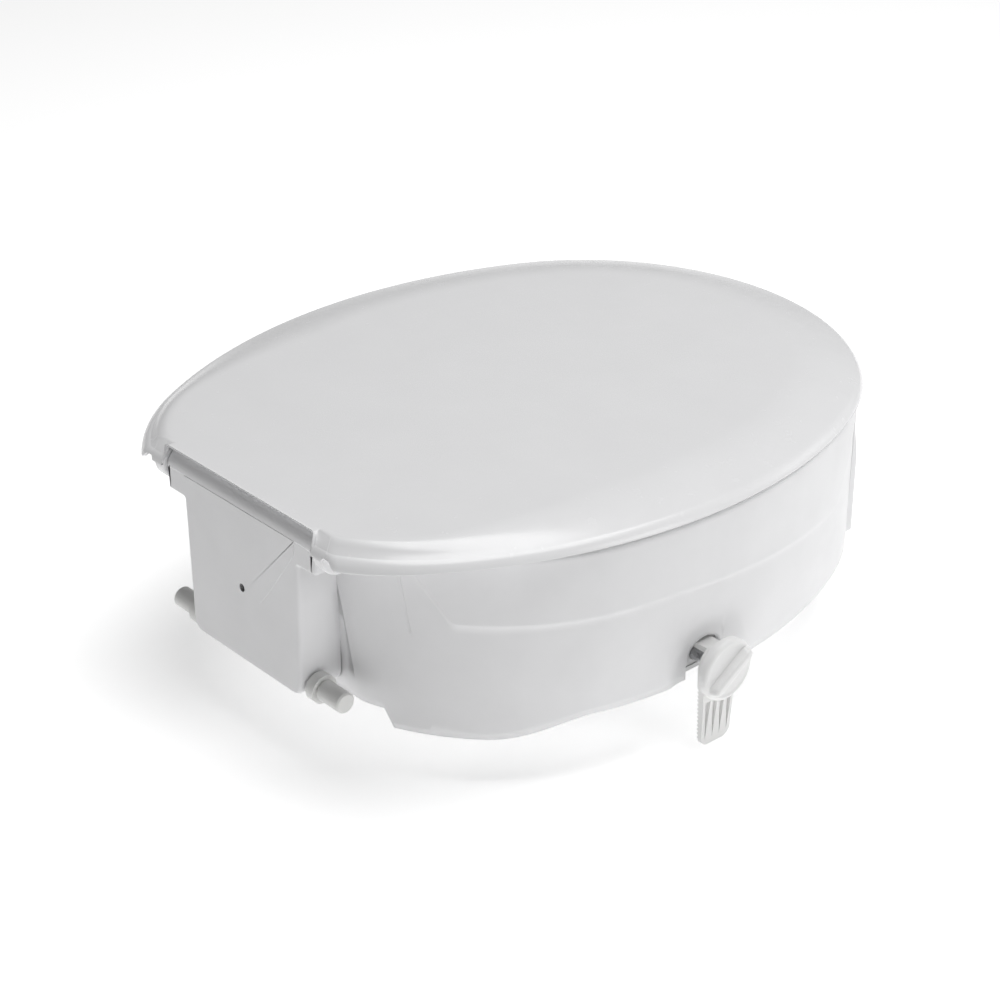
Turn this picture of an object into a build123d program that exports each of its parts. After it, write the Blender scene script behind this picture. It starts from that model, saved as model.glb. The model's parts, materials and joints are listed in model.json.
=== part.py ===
from build123d import *

import os
from math import cos, radians, sin, sqrt, tan

os.makedirs("parts", exist_ok=True)

# A raised toilet seat with a lid, two screw clamps and two rear mounting pins. Millimetres.
# X is across the seat, the front is -Y, the rear is +Y and Z is up.
# z = 0 is the plane in which the seat rests on the bowl, x = 0 the plane of symmetry.
# "left" and "right" are a seated user's own: left is +X, right is -X.
SIDES = {"left": 1, "right": -1}

# ------------------------------------------------------------------ driving sizes
# Plan shape of the lid's rim: a front arc, two side arcs, two tighter shoulder arcs, two rear corners
# and a straight rear edge.
HALF_WIDTH = 173.6
FRONT_Y = -212.0
FRONT_RADIUS = 160.0
SIDE_RADIUS = 305.8
LID_SHOULDER_RADIUS = 140.0
LID_SHOULDER_ANGLE = 30.0
LID_REAR_Y = 211.2
LID_CORNER_RADIUS = 11.0

# Seat shell
SEAT_HEIGHT = 102.0
SKIRT_INSET = 3.6
SHELL_WALL = 3.2
SKIRT_REAR_Y_BOTTOM = 178.7
SKIRT_REAR_Y_TOP = 183.5
SKIRT_SHOULDER_RADIUS = 140.0
SKIRT_SHOULDER_ANGLE = 12.5
SKIRT_CORNER_RADIUS = 30.0
SEAT_EDGE_RADIUS = 3.0
OPENING_INSET = 62.0
OPENING_REAR_Y = 105.0
OPENING_CORNER_RADIUS = 90.0
SPLASH_WALL = 3.0
SPLASH_DEPTH = 18.0
DISH_DEPTH = 7.0
DISH_OUTER_INSET = 26.0
DISH_REAR_Y = 150.0
DISH_CORNER_RADIUS = 62.0
DISH_INNER_INSET = 57.0

# Raised band on each side of the skirt and the proud apron at its front
BAND_INSET = 2.8
BAND_LOW_Z = 48.5
BAND_HIGH_Z = 60.0
BAND_REAR_Y = 165.8
BAND_CORNER_Y = 153.4
BAND_STEP_Y = 40.0
BAND_LOW_Y = -110.0
BAND_FRONT_Y = -152.0
APRON_INSET = 0.2
APRON_HALF_WIDTH = 118.0
APRON_BOTTOM_Z = 5.0
APRON_SHOULDER_Z = 55.0
APRON_TOP_Z = 84.0

# Lip that drops below the skirt's edge at each rear corner, to hide the bowl's corner
LIP_DROP = 11.0
LIP_START_Y = 92.0
LIP_FULL_Y = 148.0
LIP_END_X = 70.0
LIP_END_RUN = 3.0

# Base ring, its screws and the anti-slip pads
BASE_THICKNESS = 3.0
BASE_GAP = 0.9
FIT_GAP = 0.2
POST_RADIUS = 5.0
BASE_SCREW_RADIUS = 2.0
BASE_SCREW_HEAD_RADIUS = 4.0
BASE_SCREW_LENGTH = 22.0
SCREW_RECESS = 0.4
PAD_DEPTH = 1.8
PAD_LENGTH = 46.0
PAD_WIDTH = 14.0
PAD_GAP = 0.1

# Rear housing: a box with the hinge block on top
HOUSING_REAR_Y = 208.0
HOUSING_WALL = 3.0
BOX_HALF_WIDTH_TOP = 51.0
BOX_HALF_WIDTH_BOTTOM = 49.0
BOX_BOTTOM_Z = 6.0
BOX_CORNER_RADIUS = 8.0
BLOCK_HALF_WIDTH = 66.0
BLOCK_DROP = 14.0
BLOCK_END_LENGTH = 24.0
HINGE_RISE = 1.0
HINGE_RADIUS = 10.0
HOUSING_EDGE_RADIUS = 2.0
VENT_Z = 54.0
VENT_RADIUS = 2.5
HOUSING_SCREW_X = 36.0
HOUSING_SCREW_LOW_Z = 32.0
HOUSING_SCREW_HIGH_Z = 76.0
HOUSING_SCREW_RADIUS = 2.0
HOUSING_SCREW_HEAD_RADIUS = 4.0
HOUSING_SCREW_HEAD_HEIGHT = 2.6
HOUSING_SCREW_LENGTH = 18.0
HOUSING_BOSS_RADIUS = 4.6

# Mounting pins at the bottom of the rear housing
PIN_Y = 197.7
PIN_Z = 11.3
PIN_RADIUS = 6.15
PIN_END_X = 75.7
PIN_CHAMFER = 0.9
PIN_NECK_RADIUS = 5.2
PIN_UNDERCUT = 1.0
PIN_SPIGOT_RADIUS = 4.2
PIN_SPIGOT_END_X = 32.0
COLLAR_RADIUS = 8.4
COLLAR_WIDTH = 6.0
PIN_BOSS_END_X = 30.0
PIN_BOSS_HEIGHT = 13.0

# Lid
LID_RIM_LIFT = 1.65
LID_ROLL_RADIUS = 8.1
LID_ROLL_START = 17.0
LID_CROWN_RISE = 6.6
LID_CROWN_REACH = 44.0
LID_CROWN_SHOULDER = 185.0
LID_WALL = 2.6
LID_REAR_DRAFT = 0.62
LID_OPEN_ANGLE = 97.0
LID_HINGE_GAP = 0.5
EAR_RADIUS = 11.6
EAR_WIDTH = 9.6
EAR_GAP = 0.4
NOTCH_WIDTH = 8.0
NOTCH_RISE = 2.4
BUFFER_RADIUS = 7.0
BUFFER_STEM_RADIUS = 2.5
BUFFER_STEM_LENGTH = 3.0
BUFFER_HEIGHT = 2.6
BUFFER_LIFT = 0.3
BUFFER_BOSS_RADIUS = 8.5

# Lid hinge pins and bushes
HINGE_PIN_RADIUS = 4.0
HINGE_PIN_DEPTH = 20.0
HINGE_HEAD_RADIUS = 5.6
HINGE_HEAD_WIDTH = 3.0
BUSH_RADIUS = 6.0
RUNNING_GAP = 0.05
PRESS_GAP = 0.02

# Clamps: each knob turns a spindle that runs in a captive nut and carries the jaw with it
CLAMP_Y = 18.8
SPINDLE_Z = 9.6
SPINDLE_RADIUS = 4.0
JAW_STANDOFF = 9.74
JAW_THICKNESS = 4.8
JAW_HALF_WIDTH_TOP = 12.6
JAW_HALF_WIDTH_BOTTOM = 11.2
JAW_BOTTOM_Z = -40.0
JAW_CORNER_RADIUS = 6.0
JAW_TAPER = 1.4
TOOTH_COUNT = 13
TOOTH_DEPTH = 1.1
TOOTH_TOP_Z = -2.0
FLUTE_COUNT = 4
FLUTE_DEPTH = 1.0
FLUTE_TOP_WIDTH = 4.4
FLUTE_TOP_Z = -10.5
FLUTE_BOTTOM_Z = -36.0
TONGUE_HALF_WIDTH = 5.6
TONGUE_HEIGHT = 3.4
TONGUE_LENGTH = 24.8
TONGUE_GAP = 0.35
TONGUE_CLEARANCE = 1.0
WASHER_RADIUS = 9.0
WASHER_THICKNESS = 0.8
THRUST_GAP = 0.1
CIRCLIP_RADIUS = 7.0
CIRCLIP_THICKNESS = 1.0
CIRCLIP_GROOVE_DEPTH = 0.7
KNOB_RADIUS = 18.5
KNOB_THICKNESS = 6.0
KNOB_EDGE_RADIUS = 2.2
KNOB_SOCKET_DEPTH = 5.0
GRIP_LENGTH = 37.0
GRIP_WIDTH = 7.0
GRIP_HEIGHT = 5.0
GRIP_TAPER = 9.0
GRIP_TILT = 33.0
SPINDLE_REACH = 36.6
NUT_ACROSS_FLATS = 13.0
NUT_THICKNESS = 6.5
NUT_REACH = 27.6
NUT_GAP = 0.1
BRACKET_REACH = 19.3
BRACKET_DEPTH = 19.3
BRACKET_HALF_WIDTH = 18.5
BRACKET_TOP_Z = 25.5
BRACKET_SCREW_RADIUS = 1.6
BRACKET_SCREW_HEAD_RADIUS = 3.2
BRACKET_SCREW_LENGTH = 13.0
BRACKET_SCREW_Y = 13.5
BRACKET_SCREW_INSET = 9.8
JAW_SLOT_GAP = 0.9
CLAMP_DISH_RADIUS = 31.0
CLAMP_DISH_FLOOR_RADIUS = 20.0
CLAMP_DISH_DEPTH = 2.6
CLAMP_PAD_HALF_WIDTH = 38.0
CLAMP_PAD_HEIGHT = 48.0
CLAMP_PAD_THICKNESS = 5.6

# ------------------------------------------------------------------ places worked out from them
FRONT_CENTRE_Y = FRONT_Y + FRONT_RADIUS
SIDE_CENTRE_X = SIDE_RADIUS - HALF_WIDTH
SIDE_CENTRE_Y = FRONT_CENTRE_Y + sqrt((SIDE_RADIUS - FRONT_RADIUS) ** 2 - SIDE_CENTRE_X**2)
HINGE_Y = HOUSING_REAR_Y - HINGE_RADIUS
HINGE_Z = SEAT_HEIGHT + HINGE_RISE
BLOCK_BOTTOM_Z = HINGE_Z - BLOCK_DROP
LID_RIM_Z = SEAT_HEIGHT + LID_RIM_LIFT
EAR_INNER_X = BLOCK_HALF_WIDTH + EAR_GAP
EAR_OUTER_X = EAR_INNER_X + EAR_WIDTH
NOTCH_OUTER_X = EAR_OUTER_X + NOTCH_WIDTH
PIN_SHOULDER_X = BOX_HALF_WIDTH_TOP + COLLAR_WIDTH + PIN_UNDERCUT


def mirrored(point, hand):
    """The point as a pair, or its mirror image in x = 0 where hand is -1."""
    return (hand * point.X, point.Y)


def arc_between(centre, radius, start, end, hand):
    """The shorter arc about centre from start to end, or its mirror image, drawn in the current line."""
    middle = centre + ((start + end) * 0.5 - centre).normalized() * radius
    ThreePointArc(mirrored(start, hand), mirrored(middle, hand), mirrored(end, hand))


def plan_face(inset, rear_y, corner_radius, shoulder_radius=None, shoulder_angle=0):
    """The plan shape, drawn in by inset, with its own rear edge and corner radius.

    The side arc runs into the shoulder arc at shoulder_angle. Without a shoulder radius it runs on.
    """
    front_radius = FRONT_RADIUS - inset
    side_radius = SIDE_RADIUS - inset
    side_centre = Vector(-SIDE_CENTRE_X, SIDE_CENTRE_Y)
    has_shoulder = shoulder_radius is not None
    shoulder_radius = shoulder_radius if has_shoulder else side_radius
    lean = Vector(cos(radians(shoulder_angle)), sin(radians(shoulder_angle)))
    shoulder_centre = side_centre + lean * (side_radius - shoulder_radius)
    corner_y = rear_y - corner_radius
    reach = shoulder_radius - corner_radius
    corner_x = shoulder_centre.X + sqrt(reach**2 - (corner_y - shoulder_centre.Y) ** 2)
    corner_centre = Vector(corner_x, corner_y)
    spread = (corner_centre - shoulder_centre).normalized() * corner_radius
    join = Vector(SIDE_CENTRE_X, FRONT_CENTRE_Y - SIDE_CENTRE_Y).normalized() * front_radius
    front_join = Vector(join.X, FRONT_CENTRE_Y + join.Y)
    corner_join = corner_centre + spread
    side_join = side_centre + lean * side_radius if has_shoulder else corner_join
    rear_join = Vector(corner_x, rear_y)
    with BuildSketch(mode=Mode.PRIVATE) as face:
        with BuildLine():
            ThreePointArc(mirrored(front_join, -1), (0, FRONT_CENTRE_Y - front_radius), mirrored(front_join, 1))
            Line(mirrored(rear_join, 1), mirrored(rear_join, -1))
            for hand in SIDES.values():
                arc_between(side_centre, side_radius, front_join, side_join, hand)
                if has_shoulder:
                    arc_between(shoulder_centre, shoulder_radius, side_join, corner_join, hand)
                arc_between(corner_centre, corner_radius, corner_join, rear_join, hand)
        make_face()
    return face.sketch


def edge_x(inset, y):
    """Half width of the plan shape, drawn in by inset, where its front arc or a side arc crosses y."""
    join_share = (SIDE_CENTRE_Y - FRONT_CENTRE_Y) / (SIDE_RADIUS - FRONT_RADIUS)
    if y < FRONT_CENTRE_Y - (FRONT_RADIUS - inset) * join_share:
        return sqrt((FRONT_RADIUS - inset) ** 2 - (y - FRONT_CENTRE_Y) ** 2)
    return sqrt((SIDE_RADIUS - inset) ** 2 - (y - SIDE_CENTRE_Y) ** 2) - SIDE_CENTRE_X


def skirt_rear_y(z):
    """The rear wall leans back: its y at height z."""
    return SKIRT_REAR_Y_BOTTOM + (SKIRT_REAR_Y_TOP - SKIRT_REAR_Y_BOTTOM) * z / SEAT_HEIGHT


def skirt_outline(inset, rear_y, gap):
    """A plan shape that follows the skirt, at its own inset, its rear edge drawn in by gap."""
    step = inset - SKIRT_INSET
    return plan_face(
        inset, rear_y - gap, SKIRT_CORNER_RADIUS - step, SKIRT_SHOULDER_RADIUS - step, SKIRT_SHOULDER_ANGLE
    )


def skirt_face(inset, z):
    """The skirt's outer shape at height z, drawn in by inset beyond the skirt's own inset."""
    return skirt_outline(SKIRT_INSET + inset, skirt_rear_y(z), inset)


def across(x):
    """A plane square to X at x, seen from +X: its own x is Y and its own y is Z."""
    return Plane(origin=(x, 0, 0), x_dir=(0, 1, 0), z_dir=(1, 0, 0))


def along(y):
    """A plane square to Y at y, seen from the rear: its own x is -X and its own y is Z."""
    return Plane(origin=(0, y, 0), x_dir=(-1, 0, 0), z_dir=(0, 1, 0))


def inward(side, reach, y=CLAMP_Y, z=SPINDLE_Z):
    """A plane at |x| = reach that faces the seat's middle, centred on the spindle, its own y up."""
    return Plane(origin=(side * reach, y, z), x_dir=(0, -side, 0), z_dir=(-side, 0, 0))


def finish(part, name):
    """Label a finished piece and write it."""
    part.label = name
    export_step(part, f"parts/{name}.step")


# Screw posts stand half way across the ring, clear of the clamps. Each place is an inset and a y.
POST_PLACES = ((34.7, -166), (32.1, -92), (31.9, 78), (35.1, 152))
POST_POINTS = [(x_sign * edge_x(inset, y), y) for x_sign in SIDES.values() for inset, y in POST_PLACES]
PAD_FRONT_X = edge_x(33.2, -126)
PAD_REAR_X = edge_x(32.3, 120)
PAD_POINTS = {
    "front_left": (PAD_FRONT_X, -126, 54),
    "front_right": (-PAD_FRONT_X, -126, -54),
    "rear_left": (PAD_REAR_X, 120, -66),
    "rear_right": (-PAD_REAR_X, 120, 66),
}
HOUSING_SCREW_POINTS = [
    (x_sign * HOUSING_SCREW_X, z) for x_sign in SIDES.values() for z in (HOUSING_SCREW_LOW_Z, HOUSING_SCREW_HIGH_Z)
]
BUFFER_FRONT_X = edge_x(18.1, -160)
BUFFER_REAR_X = edge_x(21.3, 120)
BUFFER_POINTS = {
    "front_left": (BUFFER_FRONT_X, -160),
    "front_right": (-BUFFER_FRONT_X, -160),
    "rear_left": (BUFFER_REAR_X, 120),
    "rear_right": (-BUFFER_REAR_X, 120),
}

# ------------------------------------------------------------------ seat shell
FULL_INSET = OPENING_INSET - SPLASH_WALL
DISH_FLOOR_Z = SEAT_HEIGHT - DISH_DEPTH
CAVITY_LOW_TOP = DISH_FLOOR_Z - SHELL_WALL
CAVITY_HIGH_TOP = SEAT_HEIGHT - SHELL_WALL
JAW_SLOT_HALF_WIDTH = JAW_HALF_WIDTH_TOP + JAW_SLOT_GAP
WALL_X = edge_x(SKIRT_INSET, CLAMP_Y)

# The clamps hang off the skirt's wall: the jaw's outer face comes first and the rest follows it.
JAW_OUTER_X = WALL_X + JAW_STANDOFF
JAW_INNER_X = JAW_OUTER_X - JAW_THICKNESS
KNOB_BACK_X = JAW_OUTER_X + WASHER_THICKNESS + 2 * THRUST_GAP
KNOB_FACE_X = KNOB_BACK_X + KNOB_THICKNESS
TONGUE_END_X = JAW_INNER_X - TONGUE_LENGTH
SPINDLE_END_X = JAW_OUTER_X - SPINDLE_REACH
NUT_OUTER_X = JAW_OUTER_X - NUT_REACH
BRACKET_OUTER_X = JAW_OUTER_X - BRACKET_REACH
BRACKET_INNER_X = BRACKET_OUTER_X - BRACKET_DEPTH
BRACKET_SCREW_X = BRACKET_OUTER_X - BRACKET_SCREW_INSET

with BuildPart() as seat_shell:
    # outer block, its walls upright but for the leaning rear wall
    with BuildSketch(Plane.XY.offset(-LIP_DROP)):
        add(skirt_face(0, -LIP_DROP))
    with BuildSketch(Plane.XY.offset(SEAT_HEIGHT)):
        add(skirt_face(0, SEAT_HEIGHT))
    loft(ruled=True)
    fillet(seat_shell.faces().sort_by(Axis.Z)[-1].edges(), radius=SEAT_EDGE_RADIUS)

    # the lower edge lies in z = 0 but for a lip that drops at each rear corner
    with BuildSketch(across(-HALF_WIDTH)):
        with BuildLine():
            Polyline(
                (LIP_START_Y, 0),
                (LIP_FULL_Y, -LIP_DROP),
                (LIP_FULL_Y, -2 * LIP_DROP),
                (-LID_REAR_Y - LIP_DROP, -2 * LIP_DROP),
                (-LID_REAR_Y - LIP_DROP, 0),
                close=True,
            )
        make_face()
    extrude(amount=2 * HALF_WIDTH, mode=Mode.SUBTRACT)
    with BuildSketch(along(LIP_START_Y)):
        with BuildLine():
            Polyline(
                (-LIP_END_X, 0),
                (LIP_END_X, 0),
                (LIP_END_X + LIP_END_RUN, -LIP_DROP),
                (LIP_END_X, -2 * LIP_DROP),
                (-LIP_END_X, -2 * LIP_DROP),
                (-LIP_END_X - LIP_END_RUN, -LIP_DROP),
                close=True,
            )
        make_face()
    extrude(amount=HOUSING_REAR_Y - LIP_START_Y, mode=Mode.SUBTRACT)

    # raised band along each side
    with BuildPart(mode=Mode.PRIVATE) as band:
        with BuildSketch(Plane.XY.offset(BAND_LOW_Z - 1)):
            add(skirt_outline(BAND_INSET, SKIRT_REAR_Y_BOTTOM, 0))
        extrude(amount=SEAT_HEIGHT - SEAT_EDGE_RADIUS - BAND_LOW_Z)
        with BuildSketch(across(-HALF_WIDTH)):
            with BuildLine():
                Polyline(
                    (BAND_REAR_Y, SEAT_HEIGHT),
                    (BAND_CORNER_Y, BAND_HIGH_Z),
                    (BAND_STEP_Y, BAND_HIGH_Z),
                    (BAND_LOW_Y, BAND_LOW_Z),
                    (BAND_FRONT_Y, SEAT_HEIGHT),
                    close=True,
                )
            make_face()
        extrude(amount=2 * HALF_WIDTH, mode=Mode.INTERSECT)
    add(band.part)

    # proud apron across the front, tapering back into the skirt above its shoulder
    with BuildPart(mode=Mode.PRIVATE) as apron:
        with BuildSketch(Plane.XY.offset(APRON_BOTTOM_Z)):
            add(skirt_outline(APRON_INSET, SKIRT_REAR_Y_BOTTOM, 0))
        with BuildSketch(Plane.XY.offset(APRON_SHOULDER_Z)):
            add(skirt_outline(APRON_INSET, SKIRT_REAR_Y_BOTTOM, 0))
        with BuildSketch(Plane.XY.offset(APRON_TOP_Z)):
            add(skirt_face(0, 0))
        loft(ruled=True)
        with BuildSketch(Plane.XY.offset(APRON_BOTTOM_Z)):
            with Locations((0, FRONT_CENTRE_Y - FRONT_RADIUS)):
                Rectangle(2 * APRON_HALF_WIDTH, 2 * FRONT_RADIUS)
        extrude(amount=APRON_TOP_Z, mode=Mode.INTERSECT)
    add(apron.part)

    # dished seating surface, running down to the opening
    with BuildSketch(Plane.XY.offset(DISH_FLOOR_Z)):
        add(plan_face(DISH_INNER_INSET, OPENING_REAR_Y + OPENING_INSET - DISH_INNER_INSET, OPENING_CORNER_RADIUS))
    with BuildSketch(Plane.XY.offset(SEAT_HEIGHT)):
        add(plan_face(DISH_OUTER_INSET, DISH_REAR_Y, DISH_CORNER_RADIUS))
    loft(ruled=True, mode=Mode.SUBTRACT)

    # hollow underside round the splash wall, thicker at the clamps, with a post for each base screw
    with BuildPart(mode=Mode.PRIVATE) as cavity:
        with BuildSketch(Plane.XY.offset(-2 * LIP_DROP)):
            add(skirt_face(SHELL_WALL, -2 * LIP_DROP))
        with BuildSketch(Plane.XY.offset(CAVITY_LOW_TOP)):
            add(skirt_face(SHELL_WALL, CAVITY_LOW_TOP))
        loft(ruled=True)
        with BuildSketch(Plane.XY.offset(CAVITY_LOW_TOP)):
            add(skirt_face(SHELL_WALL, CAVITY_LOW_TOP))
            add(plan_face(DISH_OUTER_INSET, DISH_REAR_Y, DISH_CORNER_RADIUS), mode=Mode.SUBTRACT)
        extrude(amount=CAVITY_HIGH_TOP - CAVITY_LOW_TOP)
        with BuildSketch(Plane.XY.offset(-1)):
            add(plan_face(FULL_INSET, OPENING_REAR_Y + SPLASH_WALL, OPENING_CORNER_RADIUS + SPLASH_WALL))
        extrude(amount=SEAT_HEIGHT, mode=Mode.SUBTRACT)
        with Locations(*[(s * WALL_X, CLAMP_Y, 0) for s in SIDES.values()]):
            Box(
                2 * (SHELL_WALL + CLAMP_PAD_THICKNESS),
                2 * CLAMP_PAD_HALF_WIDTH,
                2 * CLAMP_PAD_HEIGHT,
                mode=Mode.SUBTRACT,
            )
        with Locations(*[(x, y, BASE_THICKNESS) for x, y in POST_POINTS]):
            Cylinder(POST_RADIUS, SEAT_HEIGHT, align=(Align.CENTER, Align.CENTER, Align.MIN), mode=Mode.SUBTRACT)
    add(cavity.part, mode=Mode.SUBTRACT)

    # splash wall reaching down into the bowl, and the opening through the seat
    with BuildSketch(Plane.XY.offset(-SPLASH_DEPTH)):
        add(plan_face(FULL_INSET, OPENING_REAR_Y + SPLASH_WALL, OPENING_CORNER_RADIUS + SPLASH_WALL))
    extrude(amount=SPLASH_DEPTH + SHELL_WALL)
    with BuildSketch(Plane.XY.offset(-SPLASH_DEPTH - 1)):
        add(plan_face(OPENING_INSET, OPENING_REAR_Y, OPENING_CORNER_RADIUS))
    extrude(amount=SPLASH_DEPTH + SEAT_HEIGHT + 2, mode=Mode.SUBTRACT)

    # base screw holes in the posts
    with Locations(*[(x, y, 0) for x, y in POST_POINTS]):
        Cylinder(
            BASE_SCREW_RADIUS + PRESS_GAP,
            BASE_SCREW_LENGTH + 2,
            align=(Align.CENTER, Align.CENTER, Align.MIN),
            mode=Mode.SUBTRACT,
        )

    # screw holes for the rear housing
    with BuildSketch(along(SKIRT_REAR_Y_BOTTOM - 2 * SHELL_WALL)):
        with Locations(*HOUSING_SCREW_POINTS):
            Circle(HOUSING_SCREW_RADIUS + FIT_GAP)
    extrude(amount=4 * SHELL_WALL, mode=Mode.SUBTRACT)

    # a shallow dish behind each knob and a slot through the wall for the jaw
    for side in SIDES.values():
        with BuildSketch(inward(side, WALL_X + 2)):
            Circle(CLAMP_DISH_RADIUS + 2 * (CLAMP_DISH_RADIUS - CLAMP_DISH_FLOOR_RADIUS) / CLAMP_DISH_DEPTH)
        with BuildSketch(inward(side, WALL_X - CLAMP_DISH_DEPTH)):
            Circle(CLAMP_DISH_FLOOR_RADIUS)
        loft(ruled=True, mode=Mode.SUBTRACT)
        with BuildSketch(inward(side, WALL_X + 2)):
            Circle(JAW_SLOT_HALF_WIDTH)
            with Locations((0, -SPINDLE_Z)):
                Rectangle(2 * JAW_SLOT_HALF_WIDTH, 2 * SPINDLE_Z)
        extrude(amount=2 + SHELL_WALL + CLAMP_PAD_THICKNESS + 1, mode=Mode.SUBTRACT)

finish(seat_shell.part, "seat_shell")

# ------------------------------------------------------------------ base ring under the shell
with BuildPart() as base_ring:
    with BuildSketch(Plane.XY):
        add(skirt_face(SHELL_WALL + BASE_GAP, 0))
        add(
            plan_face(
                FULL_INSET - FIT_GAP, OPENING_REAR_Y + SPLASH_WALL + FIT_GAP, OPENING_CORNER_RADIUS + SPLASH_WALL
            ),
            mode=Mode.SUBTRACT,
        )
        for side in SIDES.values():
            with Locations((side * WALL_X, CLAMP_Y)):
                Rectangle(
                    2 * (SHELL_WALL + CLAMP_PAD_THICKNESS + FIT_GAP),
                    2 * (CLAMP_PAD_HALF_WIDTH + FIT_GAP),
                    mode=Mode.SUBTRACT,
                )
    extrude(amount=BASE_THICKNESS - FIT_GAP)
    for x, y, turn in PAD_POINTS.values():
        with BuildSketch(Plane.XY):
            with Locations(Location((x, y, 0), (0, 0, turn))):
                RectangleRounded(PAD_LENGTH, PAD_WIDTH, PAD_WIDTH / 3)
        extrude(amount=PAD_DEPTH, mode=Mode.SUBTRACT)
    with Locations(*[Location((x, y, 0), (180, 0, 0)) for x, y in POST_POINTS]):
        CounterSinkHole(
            BASE_SCREW_RADIUS + FIT_GAP, BASE_SCREW_HEAD_RADIUS + SCREW_RECESS + FIT_GAP, depth=BASE_THICKNESS
        )
    for side in SIDES.values():
        with Locations(
            *[Location((side * BRACKET_SCREW_X, CLAMP_Y + s * BRACKET_SCREW_Y, 0), (180, 0, 0)) for s in (-1, 1)]
        ):
            CounterSinkHole(
                BRACKET_SCREW_RADIUS + FIT_GAP,
                BRACKET_SCREW_HEAD_RADIUS + SCREW_RECESS + FIT_GAP,
                depth=BASE_THICKNESS,
            )
finish(base_ring.part, "base_ring")

for name, (x, y, turn) in PAD_POINTS.items():
    with BuildPart() as rim_pad:
        with BuildSketch(Plane.XY):
            with Locations(Location((x, y, 0), (0, 0, turn))):
                RectangleRounded(PAD_LENGTH - 2 * PAD_GAP, PAD_WIDTH - 2 * PAD_GAP, PAD_WIDTH / 3 - PAD_GAP)
        extrude(amount=PAD_DEPTH - PAD_GAP)
    finish(rim_pad.part, f"rim_pad_{name}")


def countersunk_screws(points, radius, head_radius, length):
    """Countersunk screws whose heads face down, recessed in the base ring, one at each (x, y)."""
    with BuildPart() as screws:
        for x, y in points:
            with BuildSketch(Plane.XZ.offset(-y)):
                with BuildLine():
                    Polyline(
                        (x, SCREW_RECESS),
                        (x + head_radius, SCREW_RECESS),
                        (x + radius, SCREW_RECESS + head_radius - radius),
                        (x + radius, length - radius),
                        (x, length),
                        close=True,
                    )
                make_face()
            revolve(axis=Axis((x, y, 0), (0, 0, 1)))
    return screws.part


finish(
    countersunk_screws(POST_POINTS, BASE_SCREW_RADIUS, BASE_SCREW_HEAD_RADIUS, BASE_SCREW_LENGTH), "base_screws"
)

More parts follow.
